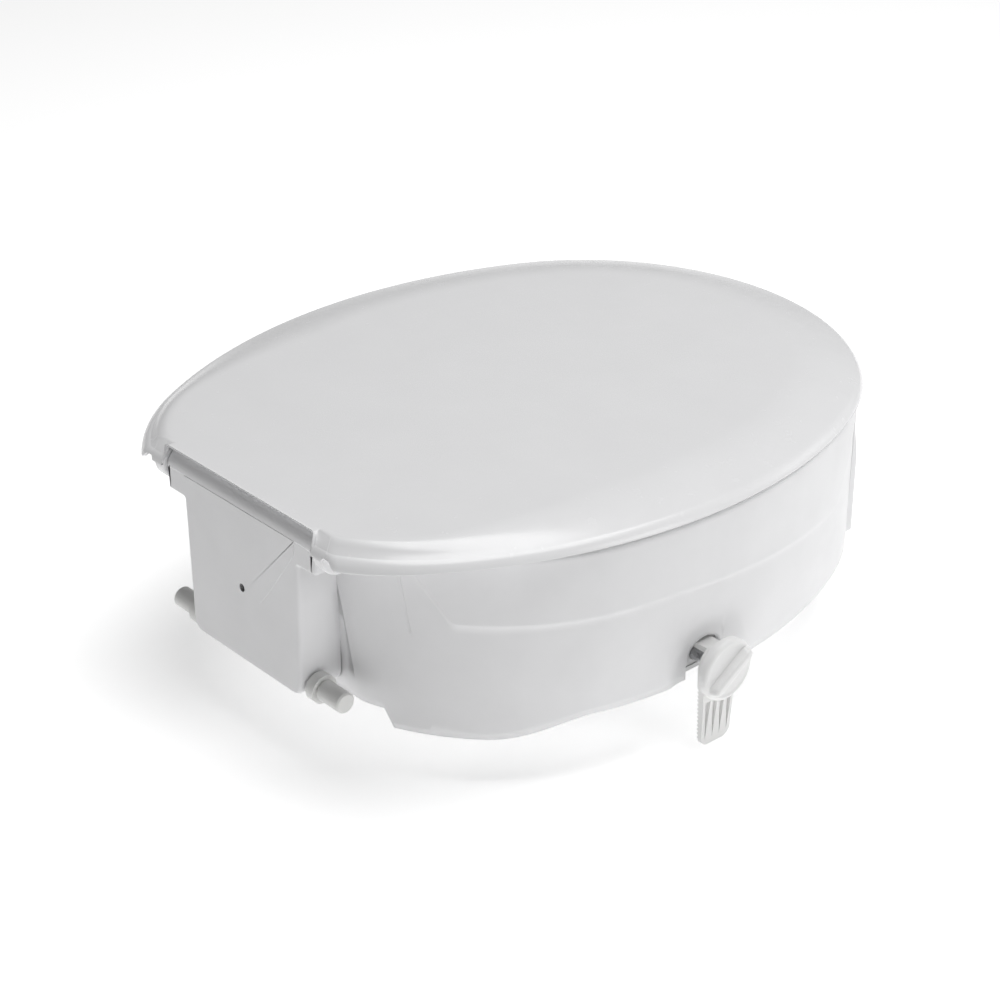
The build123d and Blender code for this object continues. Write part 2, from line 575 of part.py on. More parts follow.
# ------------------------------------------------------------------ rear housing
with BuildPart() as rear_housing:
    # box with slightly tapering sides
    with BuildSketch(along(HOUSING_REAR_Y)):
        with BuildLine():
            Polyline(
                (-BOX_HALF_WIDTH_TOP, BLOCK_BOTTOM_Z + 1),
                (BOX_HALF_WIDTH_TOP, BLOCK_BOTTOM_Z + 1),
                (BOX_HALF_WIDTH_BOTTOM, BOX_BOTTOM_Z),
                (-BOX_HALF_WIDTH_BOTTOM, BOX_BOTTOM_Z),
                close=True,
            )
        make_face()
        fillet(vertices().group_by(Axis.Y)[0], radius=BOX_CORNER_RADIUS)
    extrude(amount=-(HOUSING_REAR_Y - SKIRT_REAR_Y_BOTTOM))
    fillet(
        rear_housing.faces().sort_by(Axis.Y)[-1].edges().filter_by(lambda e: e.center().Z < BLOCK_BOTTOM_Z),
        radius=HOUSING_EDGE_RADIUS,
    )
    # hinge block, round about the hinge axis
    with BuildSketch(across(-BLOCK_HALF_WIDTH)):
        with Locations((HINGE_Y, (BLOCK_BOTTOM_Z + HINGE_Z) / 2)):
            Rectangle(2 * HINGE_RADIUS, HINGE_Z - BLOCK_BOTTOM_Z)
        with Locations((HINGE_Y, HINGE_Z)):
            Circle(HINGE_RADIUS)
        with Locations(((SKIRT_REAR_Y_BOTTOM + HINGE_Y) / 2, (BLOCK_BOTTOM_Z + SEAT_HEIGHT) / 2)):
            Rectangle(HINGE_Y - SKIRT_REAR_Y_BOTTOM, SEAT_HEIGHT - BLOCK_BOTTOM_Z)
    extrude(amount=2 * BLOCK_HALF_WIDTH)
    # hollow of the box, open towards the skirt, with solid corners for the mounting pins
    with BuildPart(mode=Mode.PRIVATE) as hollow:
        with BuildSketch(along(HOUSING_REAR_Y - HOUSING_WALL)):
            with Locations((0, (BOX_BOTTOM_Z + BLOCK_BOTTOM_Z) / 2)):
                Rectangle(
                    2 * (BOX_HALF_WIDTH_BOTTOM - HOUSING_WALL), BLOCK_BOTTOM_Z - BOX_BOTTOM_Z - 2 * HOUSING_WALL
                )
        extrude(amount=-(HOUSING_REAR_Y - SKIRT_REAR_Y_BOTTOM))
        with BuildSketch(across(-BLOCK_HALF_WIDTH + BLOCK_END_LENGTH)):
            with Locations((HINGE_Y, (BLOCK_BOTTOM_Z + HINGE_Z) / 2)):
                Rectangle(2 * (HINGE_RADIUS - HOUSING_WALL), HINGE_Z - BLOCK_BOTTOM_Z + 3 * HOUSING_WALL)
        extrude(amount=2 * (BLOCK_HALF_WIDTH - BLOCK_END_LENGTH))
        for side in SIDES.values():
            with BuildSketch(along(HOUSING_REAR_Y)):
                with Locations((side * (BOX_HALF_WIDTH_BOTTOM + PIN_BOSS_END_X) / 2, BOX_BOTTOM_Z)):
                    Rectangle(BOX_HALF_WIDTH_BOTTOM - PIN_BOSS_END_X, 2 * PIN_BOSS_HEIGHT)
            extrude(amount=-(HOUSING_REAR_Y - SKIRT_REAR_Y_BOTTOM), mode=Mode.SUBTRACT)
        with BuildSketch(along(HOUSING_REAR_Y)):
            with Locations(*HOUSING_SCREW_POINTS):
                Circle(HOUSING_BOSS_RADIUS)
        extrude(amount=-(HOUSING_REAR_Y - SKIRT_REAR_Y_BOTTOM), mode=Mode.SUBTRACT)
    add(hollow.part, mode=Mode.SUBTRACT)
    # the front lies against the skirt's rear wall
    with BuildPart(mode=Mode.PRIVATE) as skirt_room:
        with BuildSketch(Plane.XY):
            add(skirt_face(-FIT_GAP, 0))
        with BuildSketch(Plane.XY.offset(SEAT_HEIGHT)):
            add(skirt_face(-FIT_GAP, SEAT_HEIGHT))
        loft(ruled=True)
    add(skirt_room.part, mode=Mode.SUBTRACT)
    # vent hole
    with BuildSketch(along(HOUSING_REAR_Y)):
        with Locations((0, VENT_Z)):
            Circle(VENT_RADIUS)
    extrude(amount=-2 * HOUSING_WALL, mode=Mode.SUBTRACT)
    # screw holes, hinge pin bores and mounting pin bores
    with BuildSketch(along(SKIRT_REAR_Y_BOTTOM - 2 * SHELL_WALL)):
        with Locations(*HOUSING_SCREW_POINTS):
            Circle(HOUSING_SCREW_RADIUS + PRESS_GAP)
    extrude(amount=HOUSING_SCREW_LENGTH + 2, mode=Mode.SUBTRACT)
    for side in SIDES.values():
        with BuildSketch(inward(side, BLOCK_HALF_WIDTH, HINGE_Y, HINGE_Z)):
            Circle(HINGE_PIN_RADIUS + PRESS_GAP)
        extrude(amount=HINGE_PIN_DEPTH + 0.5, mode=Mode.SUBTRACT)
        with BuildSketch(inward(side, BOX_HALF_WIDTH_TOP, PIN_Y, PIN_Z)):
            Circle(PIN_SPIGOT_RADIUS + PRESS_GAP)
        extrude(amount=BOX_HALF_WIDTH_TOP - PIN_SPIGOT_END_X + 0.5, mode=Mode.SUBTRACT)
finish(rear_housing.part, "rear_housing")

with BuildPart() as housing_screws:
    for x, z in HOUSING_SCREW_POINTS:
        head_y = skirt_rear_y(z - HOUSING_SCREW_HEAD_RADIUS) - SHELL_WALL - FIT_GAP
        with BuildSketch(along(head_y - HOUSING_SCREW_HEAD_HEIGHT)):
            with Locations((x, z)):
                Circle(HOUSING_SCREW_HEAD_RADIUS)
        extrude(amount=HOUSING_SCREW_HEAD_HEIGHT)
        with BuildSketch(along(head_y)):
            with Locations((x, z)):
                Circle(HOUSING_SCREW_RADIUS)
        extrude(amount=SKIRT_REAR_Y_BOTTOM - 2 * SHELL_WALL + HOUSING_SCREW_LENGTH - head_y)
finish(housing_screws.part, "housing_screws")

# ------------------------------------------------------------------ mounting pins and collars
for name, side in SIDES.items():
    with BuildPart() as mounting_pin:
        with BuildSketch(inward(side, PIN_END_X, PIN_Y, PIN_Z)):
            Circle(PIN_RADIUS)
        extrude(amount=PIN_END_X - PIN_SHOULDER_X)
        chamfer(mounting_pin.edges().sort_by(Axis.X)[-1 if side > 0 else 0], length=PIN_CHAMFER)
        with BuildSketch(inward(side, PIN_SHOULDER_X, PIN_Y, PIN_Z)):
            Circle(PIN_NECK_RADIUS)
        extrude(amount=PIN_SHOULDER_X - BOX_HALF_WIDTH_TOP)
        with BuildSketch(inward(side, BOX_HALF_WIDTH_TOP, PIN_Y, PIN_Z)):
            Circle(PIN_SPIGOT_RADIUS)
        extrude(amount=BOX_HALF_WIDTH_TOP - PIN_SPIGOT_END_X)
    finish(mounting_pin.part, f"mounting_pin_{name}")

    with BuildPart() as mounting_collar:
        with BuildSketch(inward(side, BOX_HALF_WIDTH_TOP + COLLAR_WIDTH, PIN_Y, PIN_Z)):
            Circle(COLLAR_RADIUS)
            Circle(PIN_NECK_RADIUS + PRESS_GAP, mode=Mode.SUBTRACT)
        extrude(amount=COLLAR_WIDTH)
    finish(mounting_collar.part, f"mounting_collar_{name}")

# ------------------------------------------------------------------ lid
def lid_sections(shrink):
    """(inset, z, rear y, shoulder radius) down the lid's rolled rim, then its crown, drawn in by shrink."""
    roll = LID_ROLL_RADIUS - shrink
    centre_z = LID_RIM_Z - LID_ROLL_RADIUS * sin(radians(LID_ROLL_START))
    rows = []
    for angle in (LID_ROLL_START, 35.0, 52.0, 70.0, 84.0):
        inset = LID_ROLL_RADIUS * cos(radians(LID_ROLL_START)) - roll * cos(radians(angle))
        z = centre_z + roll * sin(radians(angle))
        rows.append((inset, z, LID_REAR_Y - inset * LID_REAR_DRAFT, LID_SHOULDER_RADIUS - inset))
    edge_inset, edge_z, edge_rear, edge_shoulder = rows[-1]
    for share in (0.3, 0.6, 1.0):
        rise = LID_CROWN_RISE * sin(radians(90.0 * share))
        inset = edge_inset + share * (LID_CROWN_REACH - edge_inset)
        shoulder = edge_shoulder + share * (LID_CROWN_SHOULDER - edge_shoulder)
        rows.append((inset, edge_z + rise, edge_rear, shoulder))
    return rows


def lid_solid(shrink, drop):
    """The lid's closed outer form, or its hollow, from its sections; drop lowers the first one."""
    with BuildPart(mode=Mode.PRIVATE) as form:
        for number, (inset, z, rear_y, shoulder) in enumerate(lid_sections(shrink)):
            level = z - drop if number == 0 else z
            with BuildSketch(Plane.XY.offset(level)):
                add(plan_face(inset, rear_y, LID_CORNER_RADIUS, shoulder, LID_SHOULDER_ANGLE))
        loft(ruled=True)
    return form.part


EAR_REAR_Y = LID_REAR_Y - LID_ROLL_RADIUS * LID_REAR_DRAFT + 1.0
LIP_ANGLE = LID_OPEN_ANGLE - 90.0
BLOCK_TOP_Z = HINGE_Z + HINGE_RADIUS
LIP_Z = BLOCK_TOP_Z + LID_HINGE_GAP

with BuildPart() as lid:
    add(lid_solid(0, 0))
    add(lid_solid(LID_WALL, LID_WALL), mode=Mode.SUBTRACT)
    # room for the hinge block: round about the hinge axis, then rising so that the lid can lean back
    with BuildSketch(across(-EAR_INNER_X)):
        with Locations((HINGE_Y, HINGE_Z)):
            Circle(HINGE_RADIUS + LID_HINGE_GAP)
        with BuildLine():
            Polyline(
                (HINGE_Y - HINGE_RADIUS - LID_HINGE_GAP, HINGE_Z),
                (HINGE_Y - HINGE_RADIUS - LID_HINGE_GAP, HINGE_Z - HINGE_RADIUS),
                (LID_REAR_Y + 1, HINGE_Z - HINGE_RADIUS),
                (LID_REAR_Y + 1, LIP_Z + (LID_REAR_Y + 1 - HINGE_Y) * tan(radians(LIP_ANGLE))),
                (HINGE_Y, LIP_Z),
                close=True,
            )
        make_face()
    extrude(amount=2 * EAR_INNER_X, mode=Mode.SUBTRACT)
    # the rim is lower between each ear and the lid's rear corner
    for side in SIDES.values():
        with BuildSketch(inward(side, NOTCH_OUTER_X, LID_REAR_Y, LID_RIM_Z)):
            with Locations((0, 0)):
                Rectangle(2 * HINGE_RADIUS, 2 * NOTCH_RISE)
        extrude(amount=NOTCH_WIDTH, mode=Mode.SUBTRACT)
    # two ears, round about the hinge axis
    for side in SIDES.values():
        with BuildSketch(inward(side, EAR_OUTER_X, 0, 0)):
            with BuildLine():
                CenterArc((-side * HINGE_Y, HINGE_Z), EAR_RADIUS, 0, 360)
            make_face()
            with Locations((-side * (HINGE_Y + EAR_REAR_Y) / 2, (HINGE_Z + BLOCK_TOP_Z) / 2)):
                Rectangle(EAR_REAR_Y - HINGE_Y, BLOCK_TOP_Z - HINGE_Z)
            with BuildLine():
                CenterArc((-side * HINGE_Y, HINGE_Z), BUSH_RADIUS + PRESS_GAP, 0, 360)
            make_face(mode=Mode.SUBTRACT)
        extrude(amount=EAR_WIDTH)
    # a boss for each buffer
    with BuildPart(mode=Mode.PRIVATE) as bosses:
        with BuildSketch(Plane.XY.offset(SEAT_HEIGHT + BUFFER_LIFT + BUFFER_HEIGHT)):
            with Locations(*BUFFER_POINTS.values()):
                Circle(BUFFER_BOSS_RADIUS)
        extrude(amount=LID_ROLL_RADIUS)
        add(lid_solid(LID_WALL / 3, LID_WALL), mode=Mode.INTERSECT)
    add(bosses.part)
    with BuildSketch(Plane.XY.offset(SEAT_HEIGHT + BUFFER_LIFT + BUFFER_HEIGHT)):
        with Locations(*BUFFER_POINTS.values()):
            Circle(BUFFER_STEM_RADIUS + PRESS_GAP)
    extrude(amount=BUFFER_STEM_LENGTH + PAD_GAP, mode=Mode.SUBTRACT)
finish(lid.part, "lid")

for name, point in BUFFER_POINTS.items():
    with BuildPart() as lid_buffer:
        with BuildSketch(Plane.XY.offset(SEAT_HEIGHT + BUFFER_LIFT)):
            with Locations(point):
                Circle(BUFFER_RADIUS)
        extrude(amount=BUFFER_HEIGHT)
        chamfer(lid_buffer.edges().sort_by(Axis.Z)[0], length=BUFFER_HEIGHT / 3)
        with BuildSketch(Plane.XY.offset(SEAT_HEIGHT + BUFFER_LIFT + BUFFER_HEIGHT)):
            with Locations(point):
                Circle(BUFFER_STEM_RADIUS)
        extrude(amount=BUFFER_STEM_LENGTH)
    finish(lid_buffer.part, f"lid_buffer_{name}")

# ------------------------------------------------------------------ lid hinge pins and bushes
for name, side in SIDES.items():
    with BuildPart() as hinge_pin:
        with BuildSketch(inward(side, EAR_OUTER_X + EAR_GAP, HINGE_Y, HINGE_Z)):
            Circle(HINGE_PIN_RADIUS)
        extrude(amount=EAR_OUTER_X + EAR_GAP - BLOCK_HALF_WIDTH + HINGE_PIN_DEPTH)
        with BuildSketch(inward(side, EAR_OUTER_X + EAR_GAP + HINGE_HEAD_WIDTH, HINGE_Y, HINGE_Z)):
            Circle(HINGE_HEAD_RADIUS)
        extrude(amount=HINGE_HEAD_WIDTH)
        fillet(hinge_pin.edges().sort_by(Axis.X)[-1 if side > 0 else 0], radius=HINGE_HEAD_WIDTH / 3)
    finish(hinge_pin.part, f"hinge_pin_{name}")

    with BuildPart() as hinge_bush:
        with BuildSketch(inward(side, EAR_OUTER_X, HINGE_Y, HINGE_Z)):
            Circle(BUSH_RADIUS)
            Circle(HINGE_PIN_RADIUS + RUNNING_GAP, mode=Mode.SUBTRACT)
        extrude(amount=EAR_WIDTH)
    finish(hinge_bush.part, f"hinge_bush_{name}")

# ------------------------------------------------------------------ clamps
JAW_DROP = SPINDLE_Z - JAW_BOTTOM_Z
TOOTH_PITCH = (TOOTH_TOP_Z - JAW_BOTTOM_Z - JAW_CORNER_RADIUS / 2) / TOOTH_COUNT
TONGUE_LOW = NUT_ACROSS_FLATS / 2 + NUT_GAP + TONGUE_CLEARANCE
CIRCLIP_X = JAW_INNER_X - THRUST_GAP

for name, side in SIDES.items():
    # toothed plate that hangs down beside the bowl, with a tongue that runs in the bracket
    with BuildPart() as clamp_jaw:
        with BuildSketch(inward(side, JAW_OUTER_X)):
            with BuildLine():
                Polyline(
                    (-JAW_HALF_WIDTH_TOP, 0),
                    (-JAW_HALF_WIDTH_BOTTOM, -JAW_DROP),
                    (JAW_HALF_WIDTH_BOTTOM, -JAW_DROP),
                    (JAW_HALF_WIDTH_TOP, 0),
                    close=True,
                )
            make_face()
            fillet(vertices().group_by(Axis.Y)[0], radius=JAW_CORNER_RADIUS)
            Circle(JAW_HALF_WIDTH_TOP)
        extrude(amount=JAW_THICKNESS)
        # the outer face leans in towards the tip
        with BuildSketch(Plane.XZ.offset(-CLAMP_Y - 2 * JAW_HALF_WIDTH_TOP)):
            with BuildLine():
                Polyline(
                    (side * JAW_OUTER_X, FLUTE_TOP_Z),
                    (side * (JAW_OUTER_X - JAW_TAPER), JAW_BOTTOM_Z - 1),
                    (side * (JAW_OUTER_X + 1), JAW_BOTTOM_Z - 1),
                    (side * (JAW_OUTER_X + 1), FLUTE_TOP_Z),
                    close=True,
                )
            make_face()
        extrude(amount=4 * JAW_HALF_WIDTH_TOP, mode=Mode.SUBTRACT)
        # level teeth across the inner face
        with BuildSketch(Plane.XZ.offset(-CLAMP_Y - 2 * JAW_HALF_WIDTH_TOP)):
            for tooth in range(TOOTH_COUNT):
                top = TOOTH_TOP_Z - tooth * TOOTH_PITCH
                with BuildLine():
                    Polyline(
                        (side * JAW_INNER_X, top),
                        (side * (JAW_INNER_X + TOOTH_DEPTH), top - TOOTH_PITCH / 2),
                        (side * JAW_INNER_X, top - TOOTH_PITCH),
                        close=True,
                    )
                make_face()
        extrude(amount=4 * JAW_HALF_WIDTH_TOP, mode=Mode.SUBTRACT)
        # tapering flutes down the outer face
        with BuildSketch(inward(side, JAW_OUTER_X)):
            for flute in range(FLUTE_COUNT):
                middle = (flute - (FLUTE_COUNT - 1) / 2) * 2 * JAW_HALF_WIDTH_BOTTOM / FLUTE_COUNT
                with BuildLine():
                    Polyline(
                        (middle - FLUTE_TOP_WIDTH / 2, FLUTE_TOP_Z - SPINDLE_Z),
                        (middle + FLUTE_TOP_WIDTH / 2, FLUTE_TOP_Z - SPINDLE_Z),
                        (middle, FLUTE_BOTTOM_Z - SPINDLE_Z),
                        close=True,
                    )
                make_face()
        extrude(amount=JAW_TAPER + FLUTE_DEPTH, mode=Mode.SUBTRACT)
        with BuildSketch(inward(side, JAW_INNER_X)):
            with Locations((0, TONGUE_LOW + TONGUE_HEIGHT / 2)):
                Rectangle(2 * TONGUE_HALF_WIDTH, TONGUE_HEIGHT)
        extrude(amount=JAW_INNER_X - TONGUE_END_X)
        with BuildSketch(inward(side, JAW_OUTER_X)):
            Circle(SPINDLE_RADIUS + RUNNING_GAP)
        extrude(amount=JAW_THICKNESS, mode=Mode.SUBTRACT)
    finish(clamp_jaw.part, f"clamp_jaw_{name}")

    # hand knob: a disc with a tapering grip across its face and a blind socket for the spindle
    with BuildPart() as clamp_knob:
        with BuildSketch(inward(side, KNOB_FACE_X)):
            Circle(KNOB_RADIUS)
        extrude(amount=KNOB_THICKNESS)
        fillet(clamp_knob.edges().sort_by(Axis.X)[-1 if side > 0 else 0], radius=KNOB_EDGE_RADIUS)
        with BuildSketch(inward(side, KNOB_FACE_X - KNOB_EDGE_RADIUS)):
            SlotOverall(GRIP_LENGTH, GRIP_WIDTH, rotation=-GRIP_TILT)
        extrude(amount=-(GRIP_HEIGHT + KNOB_EDGE_RADIUS), taper=GRIP_TAPER)
        with BuildSketch(inward(side, KNOB_BACK_X + KNOB_SOCKET_DEPTH)):
            Circle(SPINDLE_RADIUS + PRESS_GAP)
        extrude(amount=KNOB_SOCKET_DEPTH, mode=Mode.SUBTRACT)
    finish(clamp_knob.part, f"clamp_knob_{name}")

    with BuildPart() as clamp_spindle:
        with BuildSketch(inward(side, KNOB_BACK_X + KNOB_SOCKET_DEPTH - PRESS_GAP)):
            Circle(SPINDLE_RADIUS)
        extrude(amount=KNOB_BACK_X + KNOB_SOCKET_DEPTH - PRESS_GAP - SPINDLE_END_X)
        chamfer(clamp_spindle.edges().sort_by(Axis.X)[0 if side > 0 else -1], length=CIRCLIP_GROOVE_DEPTH)
        with BuildSketch(inward(side, CIRCLIP_X)):
            Circle(SPINDLE_RADIUS + 1)
            Circle(SPINDLE_RADIUS - CIRCLIP_GROOVE_DEPTH, mode=Mode.SUBTRACT)
        extrude(amount=CIRCLIP_THICKNESS + 2 * PRESS_GAP, mode=Mode.SUBTRACT)
    finish(clamp_spindle.part, f"clamp_spindle_{name}")

    with BuildPart() as clamp_washer:
        with BuildSketch(inward(side, KNOB_BACK_X - THRUST_GAP)):
            Circle(WASHER_RADIUS)
            Circle(SPINDLE_RADIUS + RUNNING_GAP, mode=Mode.SUBTRACT)
        extrude(amount=WASHER_THICKNESS)
    finish(clamp_washer.part, f"clamp_washer_{name}")

    with BuildPart() as clamp_circlip:
        with BuildSketch(inward(side, CIRCLIP_X - PRESS_GAP)):
            Circle(CIRCLIP_RADIUS)
            Circle(SPINDLE_RADIUS - CIRCLIP_GROOVE_DEPTH + PRESS_GAP, mode=Mode.SUBTRACT)
            with Locations((0, -CIRCLIP_RADIUS)):
                Rectangle(SPINDLE_RADIUS, 2 * CIRCLIP_RADIUS - SPINDLE_RADIUS, mode=Mode.SUBTRACT)
        extrude(amount=CIRCLIP_THICKNESS)
    finish(clamp_circlip.part, f"clamp_circlip_{name}")

    with BuildPart() as clamp_nut:
        with BuildSketch(inward(side, NUT_OUTER_X)):
            RegularPolygon(NUT_ACROSS_FLATS / 2, 6, major_radius=False)
            Circle(SPINDLE_RADIUS + RUNNING_GAP, mode=Mode.SUBTRACT)
        extrude(amount=NUT_THICKNESS)
    finish(clamp_nut.part, f"clamp_nut_{name}")

    # bracket on the base ring: a bore for the spindle, a pocket for the nut, a slot for the jaw's tongue
    with BuildPart() as clamp_bracket:
        with BuildSketch(inward(side, BRACKET_OUTER_X, CLAMP_Y, 0)):
            with Locations((0, (BASE_THICKNESS + BRACKET_TOP_Z) / 2)):
                Rectangle(2 * BRACKET_HALF_WIDTH, BRACKET_TOP_Z - BASE_THICKNESS)
        extrude(amount=BRACKET_OUTER_X - BRACKET_INNER_X)
        with BuildSketch(inward(side, BRACKET_OUTER_X)):
            Circle(SPINDLE_RADIUS + 2 * FIT_GAP)
            with Locations((0, TONGUE_LOW + TONGUE_HEIGHT / 2)):
                Rectangle(2 * (TONGUE_HALF_WIDTH + TONGUE_GAP), TONGUE_HEIGHT + 2 * TONGUE_GAP)
        extrude(amount=BRACKET_OUTER_X - BRACKET_INNER_X, mode=Mode.SUBTRACT)
        with BuildSketch(inward(side, NUT_OUTER_X + NUT_GAP)):
            RegularPolygon(NUT_ACROSS_FLATS / 2 + NUT_GAP, 6, major_radius=False)
        extrude(amount=NUT_OUTER_X - BRACKET_INNER_X + NUT_GAP, mode=Mode.SUBTRACT)
        with Locations(*[(side * BRACKET_SCREW_X, CLAMP_Y + s * BRACKET_SCREW_Y, 0) for s in (-1, 1)]):
            Cylinder(
                BRACKET_SCREW_RADIUS + PRESS_GAP,
                BRACKET_SCREW_LENGTH + 1,
                align=(Align.CENTER, Align.CENTER, Align.MIN),
                mode=Mode.SUBTRACT,
            )
    finish(clamp_bracket.part, f"clamp_bracket_{name}")

    bracket_points = [(side * BRACKET_SCREW_X, CLAMP_Y + s * BRACKET_SCREW_Y) for s in (-1, 1)]
    finish(
        countersunk_screws(
            bracket_points, BRACKET_SCREW_RADIUS, BRACKET_SCREW_HEAD_RADIUS, BRACKET_SCREW_LENGTH
        ),
        f"bracket_screws_{name}",
    )
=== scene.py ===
import json
import logging
import math
from dataclasses import dataclass, field
from enum import Enum

import bpy
import numpy as np
from mathutils import Matrix, Vector


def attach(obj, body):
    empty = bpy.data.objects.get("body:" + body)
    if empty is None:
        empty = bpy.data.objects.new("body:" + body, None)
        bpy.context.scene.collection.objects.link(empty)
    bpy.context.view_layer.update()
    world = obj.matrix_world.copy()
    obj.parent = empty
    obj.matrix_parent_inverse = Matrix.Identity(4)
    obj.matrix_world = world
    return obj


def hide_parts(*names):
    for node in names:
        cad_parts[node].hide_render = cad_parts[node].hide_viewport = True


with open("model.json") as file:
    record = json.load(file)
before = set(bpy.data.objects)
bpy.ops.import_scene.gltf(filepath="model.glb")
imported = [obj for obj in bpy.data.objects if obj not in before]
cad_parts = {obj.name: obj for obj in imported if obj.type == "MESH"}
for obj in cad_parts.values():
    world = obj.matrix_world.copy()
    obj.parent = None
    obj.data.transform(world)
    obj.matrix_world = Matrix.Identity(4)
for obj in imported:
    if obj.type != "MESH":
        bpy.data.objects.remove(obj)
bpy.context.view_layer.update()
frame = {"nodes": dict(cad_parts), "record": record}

LOG = logging.getLogger("raised_seat")
MM = 0.001
QUARTER_TURN = math.pi / 2
FULL_TURN = 2 * math.pi
QUAD_CORNERS = 4
FAR_OUT = 200.0
SIDES = (("left", 1), ("right", -1))
Grid = tuple[np.ndarray, np.ndarray, np.ndarray]


# ---------------------------------------------------------------- small numeric helpers
def smooth(low: float, high: float, value: np.ndarray) -> np.ndarray:
    """A soft step from 0 at low to 1 at high: 3t^2 - 2t^3 of the share t of the way between them.

    Args:
        low: Where the step begins.
        high: Where the step ends.
        value: The values to read the step at.

    Returns:
        The step's height at each value.
    """
    share = np.clip((value - low) / (high - low), 0.0, 1.0)
    return share * share * (3.0 - 2.0 * share)


def runs(*stops: tuple[float, float, int]) -> np.ndarray:
    """Evenly spaced values along several runs, laid end to end without repeats.

    Args:
        stops: One (start, end, steps) for each run.

    Returns:
        All the values in order, with the last run's end.
    """
    parts = [np.linspace(a, b, n, endpoint=False) for a, b, n in stops]
    return np.concatenate([*parts, np.array([stops[-1][1]])])


# ---------------------------------------------------------------- plan shape of the seat and the lid
@dataclass(frozen=True)
class Columns:
    """Where the grid's columns stand on the half outline from the front centre to the rear centre.

    The front and side columns are angles in degrees, the shoulder and corner columns are shares of
    their arcs, and the rear columns are half widths in millimetres. The first rear column is
    FAR_OUT, which stands for the end of the corner.
    """

    front: np.ndarray
    side: np.ndarray
    shoulder: np.ndarray
    corner: np.ndarray
    rear: np.ndarray

    @property
    def count(self) -> int:
        """How many columns there are in all."""
        return sum(map(len, (self.front, self.side, self.shoulder, self.corner, self.rear)))


@dataclass(frozen=True)
class PlanShape:
    """Egg-shaped outline of a front arc, side arcs, tighter shoulder arcs, corners and a straight rear."""

    half_width: float = 173.6
    front_y: float = -212.0
    front_radius: float = 160.0
    side_radius: float = 305.8

    @property
    def front_centre_y(self) -> float:
        """Y of the front arc's centre."""
        return self.front_y + self.front_radius

    @property
    def side_centre(self) -> tuple[float, float]:
        """Centre of the left side arc, which lies beyond the middle."""
        x = self.side_radius - self.half_width
        return -x, self.front_centre_y + math.sqrt((self.side_radius - self.front_radius) ** 2 - x * x)

    @property
    def join_angle(self) -> float:
        """Angle in degrees at which the front arc runs into the side arc."""
        x, y = self.side_centre
        return math.degrees(math.atan2(self.front_centre_y - y, -x))

    def half(
        self,
        columns: Columns,
        inset: np.ndarray,
        rear_y: np.ndarray,
        corner: float,
        shoulder: np.ndarray,
        shoulder_angle: float,
    ) -> tuple[np.ndarray, np.ndarray]:
        """The left half of the outline, front centre first, for every row at once.

        A point on an arc is the arc's centre plus its radius times (cos a, sin a). The shoulder's
        centre is the side's centre plus (side radius - shoulder radius) along the shoulder angle,
        and the corner's centre is where circles of the two radii's difference meets the rear line.

        Args:
            columns: Where the columns stand.
            inset: How far each row, or point, is drawn in.
            rear_y: Y of the rear edge of each row, or point.
            corner: Radius of the rear corner.
            shoulder: Radius of the shoulder arc of each row, or point.
            shoulder_angle: Angle in degrees where the side arc runs into the shoulder.

        Returns:
            X and Y in millimetres, one row for each inset and one column for each column.
        """
        given = (inset, rear_y, shoulder)
        shape = np.broadcast_shapes(*map(np.shape, given), (1, columns.count))
        spread = [np.broadcast_to(values, shape) for values in given]
        parts_x, parts_y, first = [], [], 0

        def span(size: int) -> list[np.ndarray]:
            """Takes the values of the next columns.

            Args:
                size: How many columns to take.

            Returns:
                Their insets, rear edges and shoulder radii.
            """
            nonlocal first
            part = slice(first, first + size)
            first += size
            return [values[:, part] for values in spread]

        def put(
            cx: np.ndarray | float, cy: np.ndarray | float, radius: np.ndarray | float, angle: np.ndarray
        ) -> None:
            """Adds points on an arc.

            Args:
                cx: X of the arc's centre.
                cy: Y of the arc's centre.
                radius: The arc's radius.
                angle: Angles of the points in radians.
            """
            parts_x.append(cx + radius * np.cos(angle))
            parts_y.append(cy + radius * np.sin(angle))

        side_x, side_y = self.side_centre
        step, _, _ = span(len(columns.front))
        put(0.0, self.front_centre_y, self.front_radius - step, np.radians(columns.front)[None])
        step, _, _ = span(len(columns.side))
        put(side_x, side_y, self.side_radius - step, np.radians(columns.side)[None])
        lean = math.radians(shoulder_angle)
        for part in ("shoulder", "corner", "rear"):
            share = getattr(columns, part)[None]
            step, rear, radius = span(share.size)
            cx = side_x + (self.side_radius - step - radius) * math.cos(lean)
            cy = side_y + (self.side_radius - step - radius) * math.sin(lean)
            rise = rear - corner - cy
            run = np.sqrt(np.maximum((radius - corner) ** 2 - rise**2, 0.0))
            turn = np.arctan2(rise, run)
            if part == "shoulder":
                put(cx, cy, radius, lean + (turn - lean) * share)
            elif part == "corner":
                put(cx + run, rear - corner, corner, turn + (QUARTER_TURN - turn) * share)
            else:
                parts_x.append(np.minimum(share, cx + run))
                parts_y.append(rear)
        return np.concatenate(parts_x, axis=1), np.concatenate(parts_y, axis=1)


def whole(half: np.ndarray, sign: int) -> np.ndarray:
    """A left half carried round to the right: the half, then itself reversed, times the sign.

    The first and last columns lie in the plane of symmetry and aren't repeated.

    Args:
        half: Values of the left half, rows by columns.
        sign: -1 for values across the seat and 1 for all others.

    Returns:
        Values all the way round.
    """
    return np.concatenate([half, sign * half[:, -2:0:-1]], axis=1)


